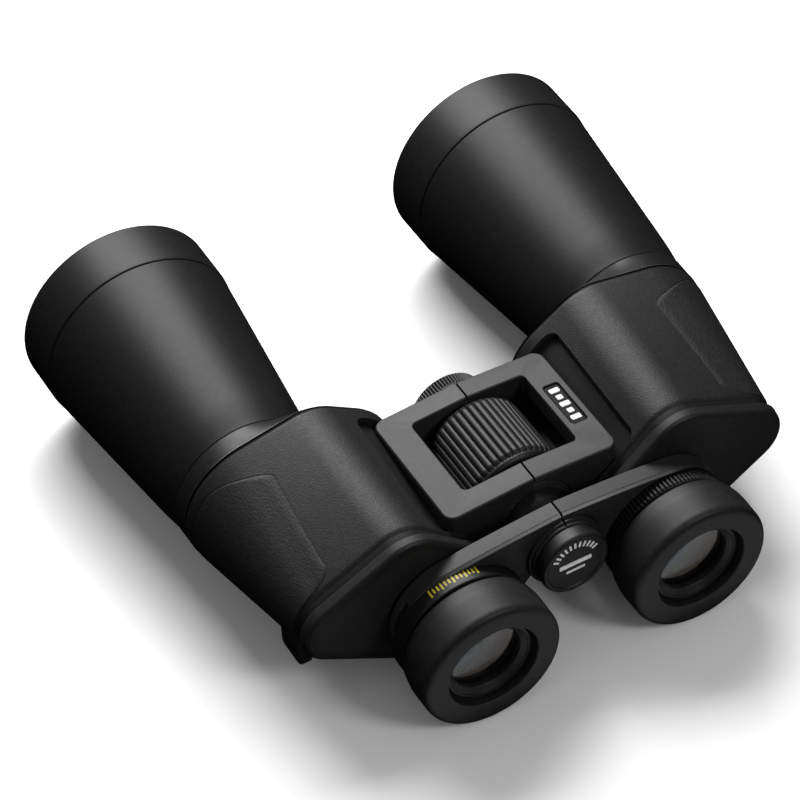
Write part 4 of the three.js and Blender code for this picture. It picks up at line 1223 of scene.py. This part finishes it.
def ocular_tube():
    front = reach("dioptre_ring")[2]
    wall = 1.4
    return turned([
        (BORE, OCULAR_REAR + 0.5, 0.2),
        (BORE + 0.9, OCULAR_REAR + 0.5, 0.1),
        (BORE + 1.0, OCULAR_REAR, 0.2),
        (OCULAR_RADIUS, OCULAR_REAR, 0.4),
        (OCULAR_RADIUS, front),
        (NECK_RADIUS, front, 0.3),
        (NECK_RADIUS, OCULAR_FRONT, 0.3),
        (NECK_RADIUS - wall, OCULAR_FRONT),
        (NECK_RADIUS - wall, LENS_SEAT),
        (BORE, LENS_SEAT),
    ], EYE)


def eye_bezel():
    """The bevelled ring that holds the eye lens, with a fine step near its outer edge."""
    outer, rear, front = reach("right_eye_retainer")
    visible = 11.2
    return turned([
        (visible, front),
        (visible, rear + 1.5, 0.15),
        (outer - 1.0, rear + 0.35, 0.1),
        (outer - 0.95, rear, 0.1),
        (outer, rear, 0.2),
        (outer, front),
    ], EYE)


def twist_ring():
    """The ring that the eyecup screws out on, with three shallow bands."""
    outer, rear, front = reach("right_twist_ring")
    bands = []
    for y in np.linspace(rear + 2.5, front - 2.5, 3):
        bands += [(outer, y - 0.5), (outer - 0.25, y - 0.3), (outer - 0.25, y + 0.3), (outer, y + 0.5)]
    inner = OCULAR_RADIUS + GAP
    return turned([
        (inner, rear, 0.2),
        (outer, rear, 0.2),
        *bands,
        (outer, front, 0.2),
        (inner, front, 0.2),
    ], EYE)


def plain_ring():
    outer, rear, front = reach("left_plain_ring")
    inner = OCULAR_RADIUS + GAP
    return turned([(inner, rear), (outer, rear, 0.5), (outer, front, 0.6), (inner, front)], EYE)


def dioptre_ring():
    outer, rear, front = reach("dioptre_ring")
    inner = OCULAR_RADIUS + GAP
    return turned([
        (inner, rear),
        (outer - 0.6, rear, 0.3, 0.05),
        (outer, rear + 0.6, 0.3, 0.6),
        (outer - 0.3, front - 0.6, 0.3, 0.6),
        (outer - 0.9, front, 0.3, 0.05),
        (inner, front),
    ], EYE, around=96 * 6, groove=ridges(96, 0.7))


def ring_marks():
    """A row of thin yellow strokes round the top of the plain ring, in place of lettering."""
    outer, rear, front = reach("left_plain_ring")
    shapes = []
    first, last, count, width = 116.0, 74.0, 13, 0.6
    for i, middle in enumerate(np.linspace(first, last, count)):
        half = math.degrees(width / outer) / 2
        inset = 1.7 if i % 3 == 0 else 2.2
        angles = np.radians((middle + half, middle - half))
        loops = []
        for radius in (outer - 0.05, outer + 0.06):
            edge = [(-EYE[0] + radius * math.cos(a), EYE[1] + radius * math.sin(a)) for a in angles]
            loops.append([
                (edge[0][0], rear + inset, edge[0][1]), (edge[0][0], front - inset, edge[0][1]),
                (edge[1][0], front - inset, edge[1][1]), (edge[1][0], rear + inset, edge[1][1]),
            ])
        shapes.append(loops_to_solid(loops))
    return joined(shapes)


def build_eyepieces():
    pair("eyecup", eyecup(), sharp=math.radians(50))
    pair("ocular_tube", ocular_tube())
    pair("eye_retainer", eye_bezel())
    pair("twist_ring", twist_ring())
    rim, rear, front = reach("right_eye_lens")
    bulge = 60 - math.sqrt(60 * 60 - rim * rim)
    eye_lens = lens(rim, rear + bulge, -60, LENS_SEAT - GAP, 900, EYE)
    refined("left_eye_lens", mirrored(eye_lens), finish=EYE_GLASS["left"])
    refined("right_eye_lens", eye_lens, finish=EYE_GLASS["right"])
    rim, rear, front = reach("right_field_lens")
    bulge = 40 - math.sqrt(40 * 40 - rim * rim)
    pair("field_lens", lens(rim, rear + bulge, -40, front - bulge, 40, EYE))
    refined("left_plain_ring", mirrored(plain_ring()))
    refined("dioptre_ring", dioptre_ring(), sharp=math.radians(50))
    piece("plain_ring_marks", ring_marks(), BODY_OF["left_plain_ring"], "ring", YELLOW)


# ---- The CAD nodes that stay: prisms and their shelves ----


def dress_cad_nodes():
    for node, thing in frame["nodes"].items():
        if not thing.hide_render:
            thing.data.materials.clear()
            thing.data.materials.append(FINISHES[SLOT_OF[node]].material)


# ---- Studio ----

CAMERA_TARGET = Vector((-0.0258, -0.0227, 0.0689))
CAMERA_DISTANCE = 0.993
CAMERA_AZIMUTH, CAMERA_ELEVATION, CAMERA_ROLL = -26.95, 46.45, -3.8
CAMERA_LENS = 155.0


def back_direction(azimuth, elevation):
    a, e = math.radians(azimuth), math.radians(elevation)
    return Vector((math.sin(a) * math.cos(e), -math.cos(a) * math.cos(e), math.sin(e)))


def add_camera():
    camera = bpy.data.objects.new("camera", bpy.data.cameras.new("camera"))
    bpy.context.scene.collection.objects.link(camera)
    camera.data.lens = CAMERA_LENS
    back = back_direction(CAMERA_AZIMUTH, CAMERA_ELEVATION)
    facing = (-back).to_track_quat("-Z", "Y").to_matrix()
    turn = facing @ Matrix.Rotation(math.radians(CAMERA_ROLL), 3, "Z")
    camera.matrix_world = Matrix.Translation(CAMERA_TARGET + back * CAMERA_DISTANCE) @ turn.to_4x4()
    bpy.context.scene.camera = camera


def add_light(name, azimuth, elevation, distance, width, height, power, middle):
    """A softbox that faces the object from the given side."""
    data = bpy.data.lights.new(name, "AREA")
    data.shape = "RECTANGLE"
    data.size, data.size_y = width, height
    data.energy = power
    lamp = bpy.data.objects.new(name, data)
    bpy.context.scene.collection.objects.link(lamp)
    back = back_direction(azimuth, elevation)
    lamp.location = middle + back * distance
    lamp.rotation_mode = "QUATERNION"
    lamp.rotation_quaternion = (-back).to_track_quat("-Z", "Y")


def add_studio():
    low, high = CAD_BOX
    middle = (low + high) / 2
    size = 4.0
    mesh = bpy.data.meshes.new("floor")
    corners = [(-size, -size, 0), (size, -size, 0), (size, size, 0), (-size, size, 0)]
    mesh.from_pydata(corners, [], [(0, 1, 2, 3)])
    floor = bpy.data.objects.new("floor", mesh)
    bpy.context.scene.collection.objects.link(floor)
    pale = Finish("pale_floor")
    pale.set(Base_Color=(0.9, 0.9, 0.9, 1), Roughness=0.9)
    pale.shader.inputs["Specular IOR Level"].default_value = 0.1
    mesh.materials.append(pale.material)
    floor.visible_glossy = False
    floor.visible_diffuse = False
    add_light("key", 168, 50, 0.75, 0.58, 0.38, 10.2, middle)
    add_light("edge", 25, 39, 1.5, 0.36, 0.36, 6, middle)
    add_light("left_fill", -80, 35, 1.5, 0.8, 0.8, 0.7, middle)
    card = bpy.data.lights.new("low_card", "AREA")
    card.shape = "RECTANGLE"
    card.size, card.size_y = 0.17, 0.045
    card.energy = 0.012
    lamp = bpy.data.objects.new("low_card", card)
    bpy.context.scene.collection.objects.link(lamp)
    lamp.location = Vector((0.01, low.y - 0.028, 0.001))
    lamp.rotation_euler = (math.pi, 0, 0)
    lamp.visible_camera = False
    world = bpy.data.worlds.new("studio")
    world.use_nodes = True
    world.node_tree.nodes["Background"].inputs["Color"].default_value = (1, 1, 1, 1)
    world.node_tree.nodes["Background"].inputs["Strength"].default_value = 0.30
    world.cycles_visibility.glossy = False
    bpy.context.scene.world = world
    bpy.context.scene.view_settings.view_transform = "Standard"


build_housings()
build_barrels()
build_bridge()
build_arms()
build_eyepieces()
dress_cad_nodes()
add_camera()
add_studio()
